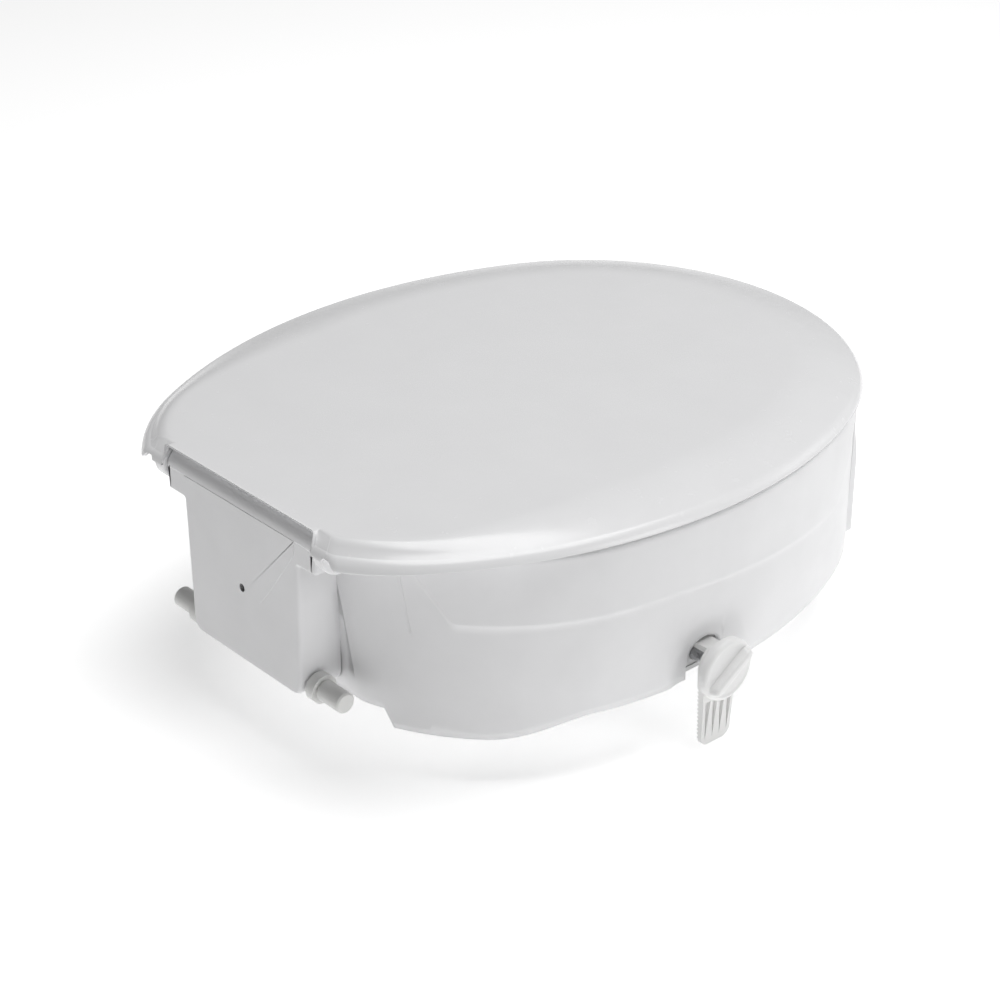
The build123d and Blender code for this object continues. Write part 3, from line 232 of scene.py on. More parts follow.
# ---------------------------------------------------------------- meshes
def grid_faces(rows: int, columns: int, closed: bool) -> np.ndarray:
    """Corner numbers of the quads of a grid, wound so that rows run up and columns run round.

    Args:
        rows: How many rows of points there are.
        columns: How many columns of points there are.
        closed: Whether the last column joins the first.

    Returns:
        One row of four corner numbers for each quad.
    """
    across = np.arange(columns if closed else columns - 1)
    low = np.arange(rows - 1)[:, None] * columns + across
    nxt = np.arange(rows - 1)[:, None] * columns + (across + 1) % columns
    return np.stack([low, nxt, nxt + columns, low + columns], axis=-1).reshape(-1, 4)


def mesh_piece(
    name: str, points: np.ndarray, faces: list[np.ndarray], turned: bool = False
) -> bpy.types.Object:
    """A mesh object of the given points and faces, at the origin, in the scene.

    Args:
        name: Name of the piece.
        points: Points in millimetres, one row each.
        faces: Arrays of corner numbers, one array for each number of corners.
        turned: Whether to turn every face over.

    Returns:
        The object, its quads shaded smooth and its caps flat.
    """
    mesh = bpy.data.meshes.new(name)
    listed = [face for group in faces for face in (group[:, ::-1] if turned else group).tolist()]
    mesh.from_pydata((points * MM).tolist(), [], listed)
    mesh.polygons.foreach_set("use_smooth", [len(face) <= QUAD_CORNERS for face in listed])
    mesh.update()
    piece = bpy.data.objects.new(name, mesh)
    bpy.context.scene.collection.objects.link(piece)
    return piece


def tube_piece(name: str, grid: Grid, caps: tuple[bool, bool] = (True, True)) -> bpy.types.Object:
    """A piece whose grid rows are closed loops, with a flat cap over its first and last loop.

    Args:
        name: Name of the piece.
        grid: X, Y and Z in millimetres, rows by columns.
        caps: Whether the first and the last loop are capped.

    Returns:
        The object.
    """
    rows, columns = grid[0].shape
    points = np.stack([axis.ravel() for axis in grid], axis=1)
    faces = [grid_faces(rows, columns, True)]
    around = np.arange(columns)
    for row, wanted, order in ((0, caps[0], 1), (rows - 1, caps[1], -1)):
        if wanted:
            faces.append((around[::-order] + row * columns)[None])
    return mesh_piece(name, points, faces)


class Facing(Enum):
    """Which way a prism stands out of its sketch plane."""

    ACROSS = "x"
    ALONG = "y"


CAP_INSETS = np.array([0.7, 0.05])
"""How far in, beyond the rounding, the loops lie that hold the shading of an end face flat."""
SIDE_MARGIN = 0.1
"""How far past the rounding the loops lie that hold the shading of the sides flat."""


def prism_grid(
    outline: np.ndarray, facing: Facing, start: float, end: float, rounding: tuple[float, float]
) -> Grid:
    """A prism with rounded edges: its outline drawn in by r(1 - sin a) at a depth of r(1 - cos a).

    Args:
        outline: Closed outline in millimetres, anticlockwise seen from the end.
        facing: The axis that the prism runs along.
        start: Where it starts on that axis.
        end: Where it ends on that axis.
        rounding: Edge radii at the start and at the end.

    Returns:
        X, Y and Z, one row for each loop.
    """
    angle = np.linspace(0.0, QUARTER_TURN, 6)
    sign = math.copysign(1.0, end - start)
    first, last = rounding
    inset = np.concatenate([
        first + CAP_INSETS, first * (1 - np.sin(angle)), [0.0, 0.0],
        last * (1 - np.cos(angle)), last + CAP_INSETS[::-1],
    ])
    depth = np.concatenate([
        [start, start], start + sign * first * (1 - np.cos(angle)), [start + sign * (first + SIDE_MARGIN)],
        [end - sign * (last + SIDE_MARGIN)], end - sign * last * (1 - np.sin(angle)), [end, end],
    ])
    before, after = np.roll(outline, 1, axis=0), np.roll(outline, -1, axis=0)
    back, on = outline - before, after - outline
    back /= np.linalg.norm(back, axis=1)[:, None]
    on /= np.linalg.norm(on, axis=1)[:, None]
    run = back + on
    normal = np.stack([run[:, 1], -run[:, 0]], axis=1)
    normal /= 0.5 * (run * run).sum(axis=1)[:, None]
    loops = outline[None] - normal[None] * inset[:, None, None]
    level = np.broadcast_to(depth[:, None], loops.shape[:2])
    if facing is Facing.ACROSS:
        return level, loops[..., 0], loops[..., 1]
    return loops[..., 0], level, loops[..., 1]


def rounded_polygon(corners: list[tuple[float, float, float]], step: float = 1.2) -> np.ndarray:
    """A polygon with rounded corners: each is a quadratic curve that leaves and meets its two sides.

    Args:
        corners: (across, up, radius) of each corner, anticlockwise.
        step: Longest distance between points on a side, in millimetres.

    Returns:
        The outline's points.
    """
    place = np.array([(a, b) for a, b, _ in corners])
    radius = np.array([r for _, _, r in corners])
    back = np.roll(place, 1, axis=0) - place
    on = np.roll(place, -1, axis=0) - place
    back /= np.linalg.norm(back, axis=1)[:, None]
    on /= np.linalg.norm(on, axis=1)[:, None]
    half_turn = np.arccos(np.clip((back * on).sum(axis=1), -1, 1)) / 2
    reach = radius / np.tan(half_turn)
    starts, ends = place + back * reach[:, None], place + on * reach[:, None]
    share = np.linspace(0, 1, 9)[:, None]
    points = []
    for index in range(len(corners)):
        a, b, c = starts[index], place[index], ends[index]
        if radius[index] > 0:
            points.append((1 - share) ** 2 * a + 2 * share * (1 - share) * b + share**2 * c)
        else:
            points.append(place[index][None])
        following = starts[(index + 1) % len(corners)]
        count = max(1, int(np.linalg.norm(following - c) / step))
        along = np.linspace(0, 1, count + 1)[1:-1, None]
        points.append(c + (following - c) * along)
    return np.vstack(points)


# ---------------------------------------------------------------- finishes
class Sheen(Enum):
    """How polished a moulded surface is: roughness and its spread."""

    POLISHED = (0.24, 0.04)
    SATIN = (0.36, 0.07)
    FINE = (0.5, 0.08)


def linear(code: str) -> tuple[float, float, float, float]:
    """An sRGB hex code as linear red, green, blue and alpha.

    Args:
        code: Six hex digits after a hash.

    Returns:
        Linear colour with full alpha.
    """
    shares = [int(code[i : i + 2], 16) / 255 for i in (1, 3, 5)]
    red, green, blue = (c / 12.92 if c <= 0.04045 else ((c + 0.055) / 1.055) ** 2.4 for c in shares)
    return red, green, blue, 1.0


def add_node(
    material: bpy.types.Material,
    kind: str,
    settings: dict[str, object] | None = None,
    values: dict[str | int, object] | None = None,
    links: dict[str | int, bpy.types.NodeSocket] | None = None,
) -> bpy.types.Node:
    """Adds a node with its settings, socket values and incoming links.

    Args:
        material: The material whose tree takes the node.
        kind: The node's type.
        settings: Attribute values.
        values: Input values by name or number.
        links: Sockets that feed the inputs, by name or number.

    Returns:
        The node.
    """
    tree = material.node_tree
    node = tree.nodes.new(kind)
    for key, value in (settings or {}).items():
        setattr(node, key, value)
    for key, value in (values or {}).items():
        node.inputs[key].default_value = value
    for key, socket in (links or {}).items():
        tree.links.new(socket, node.inputs[key])
    return node


def new_material(name: str) -> bpy.types.Material:
    """An empty material with nodes.

    Args:
        name: The material's name.

    Returns:
        The material.
    """
    material = bpy.data.materials.new(name)
    material.use_nodes = True
    material.node_tree.nodes.clear()
    return material


def noise(
    material: bpy.types.Material, size_mm: float, detail: float, roughness: float = 0.5
) -> bpy.types.NodeSocket:
    """Noise in the piece's own coordinates.

    Args:
        material: The material.
        size_mm: Size of a blotch in millimetres.
        detail: Octaves.
        roughness: Share of the finer octaves.

    Returns:
        The noise's value, near 0.5 on average.
    """
    where = add_node(material, "ShaderNodeTexCoord")
    made = add_node(
        material,
        "ShaderNodeTexNoise",
        values={"Scale": 1.0 / MM / size_mm, "Detail": detail, "Roughness": roughness},
        links={"Vector": where.outputs["Object"]},
    )
    return made.outputs["Fac"]


NOISE_LOW = 0.3
NOISE_HIGH = 0.7


def ranged(
    material: bpy.types.Material, socket: bpy.types.NodeSocket, low: float, high: float
) -> bpy.types.NodeSocket:
    """A value near 0.5 stretched over low to high.

    Args:
        material: The material.
        socket: The value.
        low: The result at NOISE_LOW.
        high: The result at NOISE_HIGH.

    Returns:
        The stretched value.
    """
    made = add_node(
        material,
        "ShaderNodeMapRange",
        values={"From Min": NOISE_LOW, "From Max": NOISE_HIGH, "To Min": low, "To Max": high},
        links={"Value": socket},
    )
    return made.outputs["Result"]


def two_tone(
    material: bpy.types.Material, shade: str, light: str, socket: bpy.types.NodeSocket
) -> bpy.types.NodeSocket:
    """Two colours mixed by a value near 0.5.

    Args:
        material: The material.
        shade: The hex code where the value is low.
        light: The hex code where the value is high.
        socket: The value.

    Returns:
        The mixed colour.
    """
    first, second, result = 6, 7, 2
    made = add_node(
        material,
        "ShaderNodeMix",
        {"data_type": "RGBA"},
        {first: linear(shade), second: linear(light)},
        {0: ranged(material, socket, 0.0, 1.0)},
    )
    return made.outputs[result]


def bumped(
    material: bpy.types.Material, socket: bpy.types.NodeSocket, strength: float, height_mm: float
) -> bpy.types.NodeSocket:
    """A normal that leans as the value's slope does.

    Args:
        material: The material.
        socket: The value.
        strength: Share of the slope that shows.
        height_mm: Height in millimetres from a value of 0 to a value of 1.

    Returns:
        The normal.
    """
    made = add_node(
        material,
        "ShaderNodeBump",
        values={"Strength": strength, "Distance": height_mm * MM},
        links={"Height": socket},
    )
    return made.outputs["Normal"]


def principled(
    material: bpy.types.Material,
    values: dict[str | int, object],
    links: dict[str | int, bpy.types.NodeSocket] | None = None,
) -> bpy.types.Material:
    """Ends a material in one principled shader.

    Args:
        material: The material.
        values: The shader's input values.
        links: Sockets that feed its inputs.

    Returns:
        The material.
    """
    shader = add_node(material, "ShaderNodeBsdfPrincipled", values=values, links=links)
    add_node(material, "ShaderNodeOutputMaterial", links={"Surface": shader.outputs[0]})
    return material


@dataclass(frozen=True)
class MouldedPlastic:
    """Injection-moulded white plastic: faint flow mottling, a texture from the tool and soft gloss.

    Colours are sRGB hex codes. Grain, mottle and gloss are blotch sizes in millimetres.
    """

    name: str
    shade: str
    light: str
    sheen: Sheen
    grain_mm: float
    grain_height_mm: float
    mottle_mm: float = 38.0
    gloss_mm: float = 9.0
    ior: float = 1.49

    def build(self) -> bpy.types.Material:
        """Makes the material.

        Returns:
            The material.
        """
        material = new_material(self.name)
        middle, spread = self.sheen.value
        gloss = noise(material, self.gloss_mm, 4.0)
        return principled(material, {"IOR": self.ior}, {
            "Base Color": two_tone(material, self.shade, self.light, noise(material, self.mottle_mm, 3.0)),
            "Roughness": ranged(material, gloss, middle - spread, middle + spread),
            "Normal": bumped(material, noise(material, self.grain_mm, 2.0), 0.5, self.grain_height_mm),
        })


@dataclass(frozen=True)
class TurnedSteel:
    """Stainless steel with a fine grain that mottles its colour, its gloss and its surface."""

    name: str
    shade: str
    light: str
    smoothest: float = 0.24
    roughest: float = 0.38
    grain_mm: float = 0.7
    grain_height_mm: float = 0.01

    def build(self) -> bpy.types.Material:
        """Makes the material.

        Returns:
            The material.
        """
        material = new_material(self.name)
        grain = noise(material, self.grain_mm, 3.0, 0.7)
        return principled(material, {"Metallic": 1.0, "IOR": 2.5}, {
            "Base Color": two_tone(material, self.shade, self.light, grain),
            "Roughness": ranged(material, grain, self.smoothest, self.roughest),
            "Normal": bumped(material, grain, 0.3, self.grain_height_mm),
        })


LID_PLASTIC = MouldedPlastic(
    "polished_polypropylene_lid", "#F1F1F2", "#F3F3F4", Sheen.POLISHED, 2.4, 0.012
)
SHELL_PLASTIC = MouldedPlastic("satin_polypropylene_shell", "#E9E9EA", "#EEEEEF", Sheen.SATIN, 0.5, 0.015)
KNOB_PLASTIC = MouldedPlastic("satin_acetal_knob", "#EEEEEE", "#F2F2F1", Sheen.SATIN, 0.6, 0.012)
JAW_PLASTIC = MouldedPlastic("fine_nylon_jaw", "#ECECEB", "#F1F1F0", Sheen.FINE, 0.4, 0.02)
PIN_PLASTIC = MouldedPlastic("glass_filled_nylon_pin", "#E6E6E4", "#ECECEA", Sheen.FINE, 0.35, 0.025)
BASE_PLASTIC = MouldedPlastic("textured_polypropylene_base", "#E2E2E2", "#E8E8E8", Sheen.FINE, 0.45, 0.03)
PAD_RUBBER = MouldedPlastic("moulded_grey_rubber", "#4A4A4D", "#545457", Sheen.FINE, 0.6, 0.05, ior=1.52)
BUFFER_RUBBER = MouldedPlastic("soft_pale_rubber", "#C9C9C8", "#D2D2D0", Sheen.FINE, 0.6, 0.04, ior=1.52)
STEEL = TurnedSteel("turned_stainless_steel", "#B9BABD", "#CFD0D2")


# ---------------------------------------------------------------- seat shell
@dataclass
class SeatShell:
    """The seat's moulded shell: leaning skirt, side bands, front apron, dished top and splash wall.

    Each loop inside the rim is an inset, the y of its rear edge and the radius of its corners.
    """

    plan: PlanShape = field(default_factory=PlanShape)
    height: float = 102.0
    inset: float = 3.6
    wall: float = 3.0
    rear_bottom: float = 178.7
    rear_top: float = 183.5
    shoulder_radius: float = 140.0
    shoulder_angle: float = 12.5
    corner_radius: float = 30.0
    edge_radius: float = 3.0
    band_rise: float = 1.1
    band_step: float = 0.4
    band_gap: float = 1.2
    band_path: tuple[tuple[float, float], ...] = (
        (-152.0, 102.0), (-110.0, 48.5), (40.0, 60.0), (153.4, 60.0), (165.8, 102.0),
    )
    apron_rise: float = 3.2
    apron_half_width: float = 118.0
    apron_blend: float = 1.6
    apron_low: float = 5.0
    apron_shoulder: float = 55.0
    apron_top: float = 84.0
    middle_z: float = 50.0
    lip_drop: float = 11.0
    lip_start_y: float = 92.0
    lip_full_y: float = 148.0
    lip_end_x: float = 71.5
    lip_blend: float = 1.5
    clamp_y: float = 18.8
    clamp_z: float = 9.6
    clamp_from_x: float = 100.0
    slot_radius: float = 13.5
    dish_radius: float = 31.0
    dish_floor_radius: float = 20.0
    dish_depth: float = 2.6
    rim_loop: tuple[float, float, float] = (26.0, 150.0, 62.0)
    throat_loop: tuple[float, float, float] = (57.0, 110.0, 90.0)
    opening_loop: tuple[float, float, float] = (62.0, 105.0, 90.0)
    throat_drop: float = 7.0
    throat_radius: float = 5.0
    splash_depth: float = 18.0

    def columns(self) -> Columns:
        """Columns that are close together at the apron's ends, the jaw slots, bands and lips.

        Returns:
            The columns.
        """
        _, side_y = self.plan.side_centre
        radius = self.plan.side_radius - self.inset

        def angle(y: float) -> float:
            """Angle on the side arc.

            Args:
                y: Lengthwise place.

            Returns:
                Angle in degrees at which the side arc crosses y.
            """
            return math.degrees(math.asin((y - side_y) / radius))

        blend, margin, gap = 1.2, 3.0, 0.2
        edge = -math.degrees(math.acos(self.apron_half_width / (self.plan.front_radius - self.inset)))
        join = self.plan.join_angle
        front = runs((-90.0, edge - blend, 26), (edge - blend, edge + blend, 8), (edge + blend, join, 9))
        dish_low = angle(self.clamp_y - self.dish_radius - margin)
        dish_high = angle(self.clamp_y + self.dish_radius + margin)
        slot_low = self.clamp_y - self.slot_radius
        slot_high = self.clamp_y + self.slot_radius
        side = runs(
            (join, dish_low, 52),
            (dish_low, angle(slot_low - gap), 10),
            (angle(slot_low - gap), angle(slot_low), 1),
            (angle(slot_low), angle(slot_high), 22),
            (angle(slot_high), angle(slot_high + gap), 1),
            (angle(slot_high + gap), dish_high, 10),
            (dish_high, self.shoulder_angle, 10),
        )
        return Columns(
            front[:-1], side[:-1], np.linspace(0, 1, 74)[:-1], np.linspace(0, 1, 10)[:-1],
            np.concatenate([[FAR_OUT], np.linspace(60, 0, 11)]),
        )

    def rear(self, z: np.ndarray) -> np.ndarray:
        """Y of the leaning rear wall.

        Args:
            z: Heights.

        Returns:
            Y at each height.
        """
        return self.rear_bottom + (self.rear_top - self.rear_bottom) * z / self.height

    def skirt_half(self, columns: Columns, proud: np.ndarray, z: np.ndarray) -> tuple[np.ndarray, np.ndarray]:
        """The skirt's half outline, standing proud of the plain wall by the given height.

        Args:
            columns: Where the columns stand.
            proud: How far each point stands out.
            z: Height of each point.

        Returns:
            X and Y of each point.
        """
        return self.plan.half(
            columns, self.inset - proud, self.rear(z) + proud, self.corner_radius,
            self.shoulder_radius + proud, self.shoulder_angle,
        )

    def build(self) -> bpy.types.Object:
        """Builds the shell as one skin and gives it its wall.

        The rows run from the skirt's lower edge up the wall, over the edge's quarter circle, across
        the dished top and down the opening to the splash wall's edge. The band's lower edge lies on
        rows of the grid, and everything raised is added along the outline's own direction.

        Returns:
            The shell.
        """
        columns = self.columns()
        base_x, base_y = self.skirt_half(columns, np.zeros((1, 1)), np.full((1, 1), self.middle_z))
        x0, y0 = base_x[0], base_y[0]
        lip = smooth(self.lip_start_y, self.lip_full_y, y0)
        lip *= smooth(self.lip_end_x - self.lip_blend, self.lip_end_x + self.lip_blend, x0)
        low = -self.lip_drop * lip
        off = np.abs(y0 - self.clamp_y)
        beside = (off <= self.slot_radius + 0.01) & (x0 > self.clamp_from_x)
        arch = self.clamp_z + np.sqrt(np.maximum(self.slot_radius**2 - off**2, 0.0))
        low = np.where(beside, arch, low)
        path = np.array(self.band_path)
        ceiling = self.height - self.edge_radius
        band = np.interp(y0, path[:, 0], path[:, 1])
        on_band = (y0 > path[0, 0]) & (y0 < path[-1, 0])
        at_front = y0 < path[0, 0]
        plain = np.where(at_front, self.apron_low, self.middle_z)
        step = np.where(on_band, np.minimum(band, ceiling - self.band_gap), plain)
        raise_band = np.where(on_band, self.band_rise, 0.0)
        apron_side = 1.0 - smooth(
            self.apron_half_width - self.apron_blend, self.apron_half_width + self.apron_blend, x0
        )
        raise_apron = np.where(at_front, self.apron_rise * apron_side, 0.0)

        start, stop = step - self.band_step, step + self.band_step
        z = np.vstack([
            low + (start - low) * np.linspace(0, 1, 15)[:-1, None],
            start + (stop - start) * np.linspace(0, 1, 6)[:-1, None],
            stop + (ceiling - stop) * np.linspace(0, 1, 24)[:, None],
        ])
        risen = smooth(-self.band_step, self.band_step, z - step)
        fall = 1.0 - smooth(self.apron_shoulder - 2.0, self.apron_top + 2.0, z)
        proud = risen * (raise_band + raise_apron * fall)
        reach = np.hypot(y0 - self.clamp_y, z - self.clamp_z)
        cone = 1.0 - smooth(self.dish_floor_radius - 2.0, self.dish_radius + 1.0, reach)
        proud = proud - self.dish_depth * cone * (x0 > self.clamp_from_x)
        top_proud = proud[-1:]

        bend = np.linspace(0, QUARTER_TURN, 7)[1:, None]
        edge_z = ceiling + self.edge_radius * np.sin(bend) + 0 * top_proud
        edge_proud = top_proud * (1 - bend / QUARTER_TURN) - self.edge_radius * (1 - np.cos(bend))
        z_all = np.vstack([z, edge_z])
        wall_x, wall_y = self.skirt_half(columns, np.vstack([proud, edge_proud]), z_all)

        outer = (wall_x[-1:], wall_y[-1:])
        rim, throat, opening = (
            self.inner_loop(columns, *loop) for loop in (self.rim_loop, self.throat_loop, self.opening_loop)
        )
        share = np.linspace(0, 1, 7)[1:]
        level = np.full(share.shape, self.height)
        sections = [(outer, rim, share, level)]
        share = np.linspace(0, 1, 13)[1:]
        sections.append((rim, throat, share, self.height - self.throat_drop * smooth(-0.15, 1.15, share)))
        turn = np.linspace(0, QUARTER_TURN, 7)[1:]
        level = self.height - self.throat_drop
        sections.append((throat, opening, np.sin(turn), level - self.throat_radius * (1 - np.cos(turn))))
        level = np.linspace(level - self.throat_radius, -self.splash_depth, 13)[1:]
        sections.append((opening, opening, np.zeros(level.shape), level))
        rows_x, rows_y, rows_z = [wall_x], [wall_y], [z_all]
        for (from_x, from_y), (to_x, to_y), share, level in sections:
            rows_x.append(from_x + (to_x - from_x) * share[:, None])
            rows_y.append(from_y + (to_y - from_y) * share[:, None])
            rows_z.append(np.broadcast_to(level[:, None], rows_x[-1].shape))
        grid = (
            whole(np.vstack(rows_x), -1), whole(np.vstack(rows_y), 1), whole(np.vstack(rows_z), 1),
        )
        shell = tube_piece("seat_shell_moulding", grid, (False, False))
        wall = shell.modifiers.new("wall", "SOLIDIFY")
        wall.thickness, wall.offset = self.wall * MM, -1.0
        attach(shell, "seat")
        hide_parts("seat_shell")
        return shell

    def inner_loop(
        self, columns: Columns, inset: float, rear_y: float, corner: float
    ) -> tuple[np.ndarray, np.ndarray]:
        """A half loop inside the skirt whose side arcs run straight into its rear corners.

        Args:
            columns: Where the columns stand.
            inset: How far the loop is drawn in.
            rear_y: Y of its rear edge.
            corner: Radius of its rear corners.

        Returns:
            X and Y, one row.
        """
        x_side, y_side = self.plan.side_centre
        radius = self.plan.side_radius - inset
        front_radius = self.plan.front_radius - inset
        rise = rear_y - corner - y_side
        run = math.sqrt((radius - corner) ** 2 - rise**2)
        limit = math.degrees(math.atan2(rise, run))
        join = self.plan.join_angle
        front = np.radians(columns.front)
        side = np.radians(join + (columns.side - join) * (limit - join) / (self.shoulder_angle - join))
        first_part = 0.88
        corner_share = np.concatenate([
            columns.shoulder * first_part, first_part + (1 - first_part) * columns.corner,
        ])
        turn = math.radians(limit) + (QUARTER_TURN - math.radians(limit)) * corner_share
        cx, cy = x_side + run, rear_y - corner
        rear = cx * columns.rear / columns.rear[1]
        rear[0] = cx
        x = np.concatenate([
            front_radius * np.cos(front), x_side + radius * np.cos(side), cx + corner * np.cos(turn), rear,
        ])
        y = np.concatenate([
            self.plan.front_centre_y + front_radius * np.sin(front),
            y_side + radius * np.sin(side), cy + corner * np.sin(turn), np.full(len(rear), rear_y),
        ])
        return x[None], y[None]


# ---------------------------------------------------------------- lid
@dataclass
class Lid:
    """The hinged lid: a rolled rim, a crowned top, a relief over the hinge block and two ears.

    The thin and brink weights are shares of the wall's thickness over the hinge block and beside it.
    """

    plan: PlanShape = field(default_factory=PlanShape)
    rim_z: float = 103.65
    roll: float = 8.1
    roll_start: float = 17.0
    roll_end: float = 74.3
    crown_rise: float = 6.8
    shoulder_radius: float = 140.0
    shoulder_angle: float = 30.0
    rear_y: float = 211.2
    corner_radius: float = 11.0
    rear_draft: float = 0.62
    rear_from_y: float = 205.0
    middle_y: float = -10.0
    wall: float = 2.6
    thin_weight: float = 0.36
    brink_weight: float = 0.02
    block_half_width: float = 66.6
    notch_inner: float = 76.0
    notch_outer: float = 84.6
    notch_rise: float = 2.4
    dip: float = 1.5
    hinge_y: float = 198.0
    hinge_z: float = 103.0
    ear_radius: float = 11.6
    ear_span: tuple[float, float] = (66.5, 75.95)
    boss_x: tuple[float, float] = (92.0, 130.0)
    boss_y: tuple[float, float] = (-160.0, 120.0)

    def columns(self) -> Columns:
        """Columns that stand at the edges of the hinge relief and of the notches.

        Returns:
            The columns.
        """
        join = self.plan.join_angle
        rear = np.concatenate([
            [FAR_OUT, 79.0, 77.0, 76.3, 75.7], np.linspace(74, 67.6, 5), [66.9, 66.5], np.linspace(65, 0, 30),
        ])
        return Columns(
            np.linspace(-90.0, join, 56)[:-1], np.linspace(join, self.shoulder_angle, 76)[:-1],
            np.linspace(0, 1, 50)[:-1], np.linspace(0, 1, 16)[:-1], rear,
        )

    def height(self, x: np.ndarray, y: np.ndarray) -> np.ndarray:
        """Height of the lid's top: a quarter sine of the distance in from the rim, over the crown's reach.

        The reach is 38 mm round the front and shortens to 8 mm at the rear. A soft step of 0.4 mm
        between 20 and 120 mm from the rim lifts the middle.

        Args:
            x: Half widths.
            y: Lengthwise places.

        Returns:
            Heights in millimetres.
        """
        side_x, side_y = self.plan.side_centre
        lean = math.radians(self.shoulder_angle)
        gap = self.plan.side_radius - self.shoulder_radius
        cx, cy = side_x + gap * math.cos(lean), side_y + gap * math.sin(lean)
        x = np.abs(x)
        at_front = self.plan.front_radius - np.hypot(x, y - self.plan.front_centre_y)
        at_side = self.plan.side_radius - np.hypot(x - side_x, y - side_y)
        at_shoulder = self.shoulder_radius - np.hypot(x - cx, y - cy)
        inwards = np.where(np.arctan2(y - cy, x - cx) > lean, at_shoulder, at_side)
        bearing = np.arctan2(y - self.plan.front_centre_y, np.maximum(x, 1e-6))
        inwards = np.where(bearing < math.radians(self.plan.join_angle), at_front, inwards)
        reach = 38.0 - 30.0 * smooth(40.0, 205.0, y)
        start, end = math.radians(self.roll_start), math.radians(self.roll_end)
        edge = self.roll * (math.cos(start) - math.cos(end))
        share = np.clip((inwards - edge) / reach, 0.0, 1.0)
        top = self.rim_z + self.roll * (math.sin(end) - math.sin(start))
        return top + self.crown_rise * np.sin(share * QUARTER_TURN) + 0.4 * smooth(20.0, 120.0, inwards)

    def build(self) -> list[bpy.types.Object]:
        """Builds the lid's skin, its ears and the bosses of its buffers.

        The skin's rows run up the rolled rim, whose points are roll (cos a, sin a) from its centre,
        and then towards the middle of the top in straight lines, with the height of the crown.
        Where the lid clears the hinge block the rim is left out and the rows hang just below the
        top's edge.

        Returns:
            The pieces.
        """
        columns = self.columns()
        start_angle = math.radians(self.roll_start)
        centre_z = self.rim_z - self.roll * math.sin(start_angle)
        probe_x, probe_y = self.plan.half(
            columns, np.zeros((1, 1)), np.full((1, 1), self.rear_y), self.corner_radius,
            np.full((1, 1), self.shoulder_radius), self.shoulder_angle,
        )
        x0, y0 = probe_x[0], probe_y[0]
        at_rear = y0 > self.rear_from_y
        notch = smooth(self.notch_inner, self.notch_inner + 0.5, x0) * at_rear
        notch *= 1 - smooth(self.notch_outer - 2.0, self.notch_outer, x0)
        dip = self.dip * smooth(166.0, 211.0, y0) * np.where(y0 < 200.0, 1.0, smooth(84.0, 86.0, x0))
        first_z = self.rim_z + self.notch_rise * notch - dip * (1 - notch)
        first = np.arcsin(np.clip((first_z - centre_z) / self.roll, -1, 1))
        last = math.radians(self.roll_end)
        share = np.linspace(0, 1, 15)[:, None]
        angle = first + (last - first) * share
        inset = self.roll * (math.cos(start_angle) - np.cos(angle))
        roll_x, roll_y = self.plan.half(
            columns, inset, self.rear_y - inset * self.rear_draft, self.corner_radius,
            self.shoulder_radius - inset, self.shoulder_angle,
        )
        roll_z = centre_z + self.roll * np.sin(angle)
        edge_x, edge_y = roll_x[-1:], roll_y[-1:]
        edge_z = self.height(edge_x, edge_y)
        relieved = (x0 < self.block_half_width) & at_rear
        drop = 1.0 - share
        roll_x = np.where(relieved, edge_x, roll_x)
        roll_y = np.where(relieved, edge_y + 0.25 * np.sin(drop * math.pi), roll_y)
        roll_z = np.where(relieved, edge_z - 0.15 * drop, roll_z)
        rings = 1 - np.concatenate([np.linspace(0, 0.3, 22)[1:], np.linspace(0.3, 0.985, 18)[1:]])[:, None]
        top_x = edge_x * rings
        top_y = self.middle_y + (edge_y - self.middle_y) * rings
        top_z = self.height(top_x, top_y)
        soft = np.clip((1 - rings) / 0.012, 0.0, 1.0)
        blend = np.where(relieved, 1.0, smooth(-0.2, 1.0, soft))
        top_z = roll_z[-1:] + (top_z - roll_z[-1:]) * blend
        grid = (
            whole(np.vstack([roll_x, top_x]), -1),
            whole(np.vstack([roll_y, top_y]), 1),
            whole(np.vstack([roll_z, top_z]), 1),
        )
        skin = tube_piece("lid_moulding", grid, (False, True))
        x, y = np.abs(grid[0]).ravel(), grid[1].ravel()
        brink = (y > 200.0) & (np.abs(x - self.block_half_width) < 0.6)
        thin = (y > 184.0) & (x < self.block_half_width + 0.2) & ~brink
        group = skin.vertex_groups.new(name="wall")
        for chosen, weight in (
            (~thin & ~brink, 1.0), (thin, self.thin_weight), (brink, self.brink_weight),
        ):
            group.add(np.flatnonzero(chosen).tolist(), weight, "REPLACE")
        wall = skin.modifiers.new("wall", "SOLIDIFY")
        wall.thickness, wall.offset, wall.vertex_group = self.wall * MM, -1.0, "wall"
        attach(skin, "lid")
        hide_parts("lid")
        pieces = [skin, *(self.ear(name, side) for name, side in SIDES)]
        for end, x, y in zip(("front", "rear"), self.boss_x, self.boss_y):
            pieces += [self.boss(f"{end}_{name}", side * x, y) for name, side in SIDES]
        return pieces

    def ear(self, name: str, side: int) -> bpy.types.Object:
        """An ear: a round about the hinge axis that runs up into the lid, with rounded edges.

        Args:
            name: The side's name.
            side: 1 for left and -1 for right.

        Returns:
            The ear.
        """
        turn = np.radians(np.linspace(-200.0, 20.0, 45))
        y = self.hinge_y + self.ear_radius * np.cos(turn)
        z = self.hinge_z + self.ear_radius * np.sin(turn)
        top = np.array([(y[-1] - 1.6, 108.5), (y[-1] - 3.5, 111.0), (y[0] + 1.0, 112.5), (y[0], 110.5)])
        outline = np.vstack([np.stack([y, z], axis=1), top])
        start, end = sorted(side * x for x in self.ear_span)
        grid = prism_grid(outline, Facing.ACROSS, start, end, (1.2, 1.2))
        piece = tube_piece(f"lid_ear_{name}", grid)
        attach(piece, "lid")
        return piece

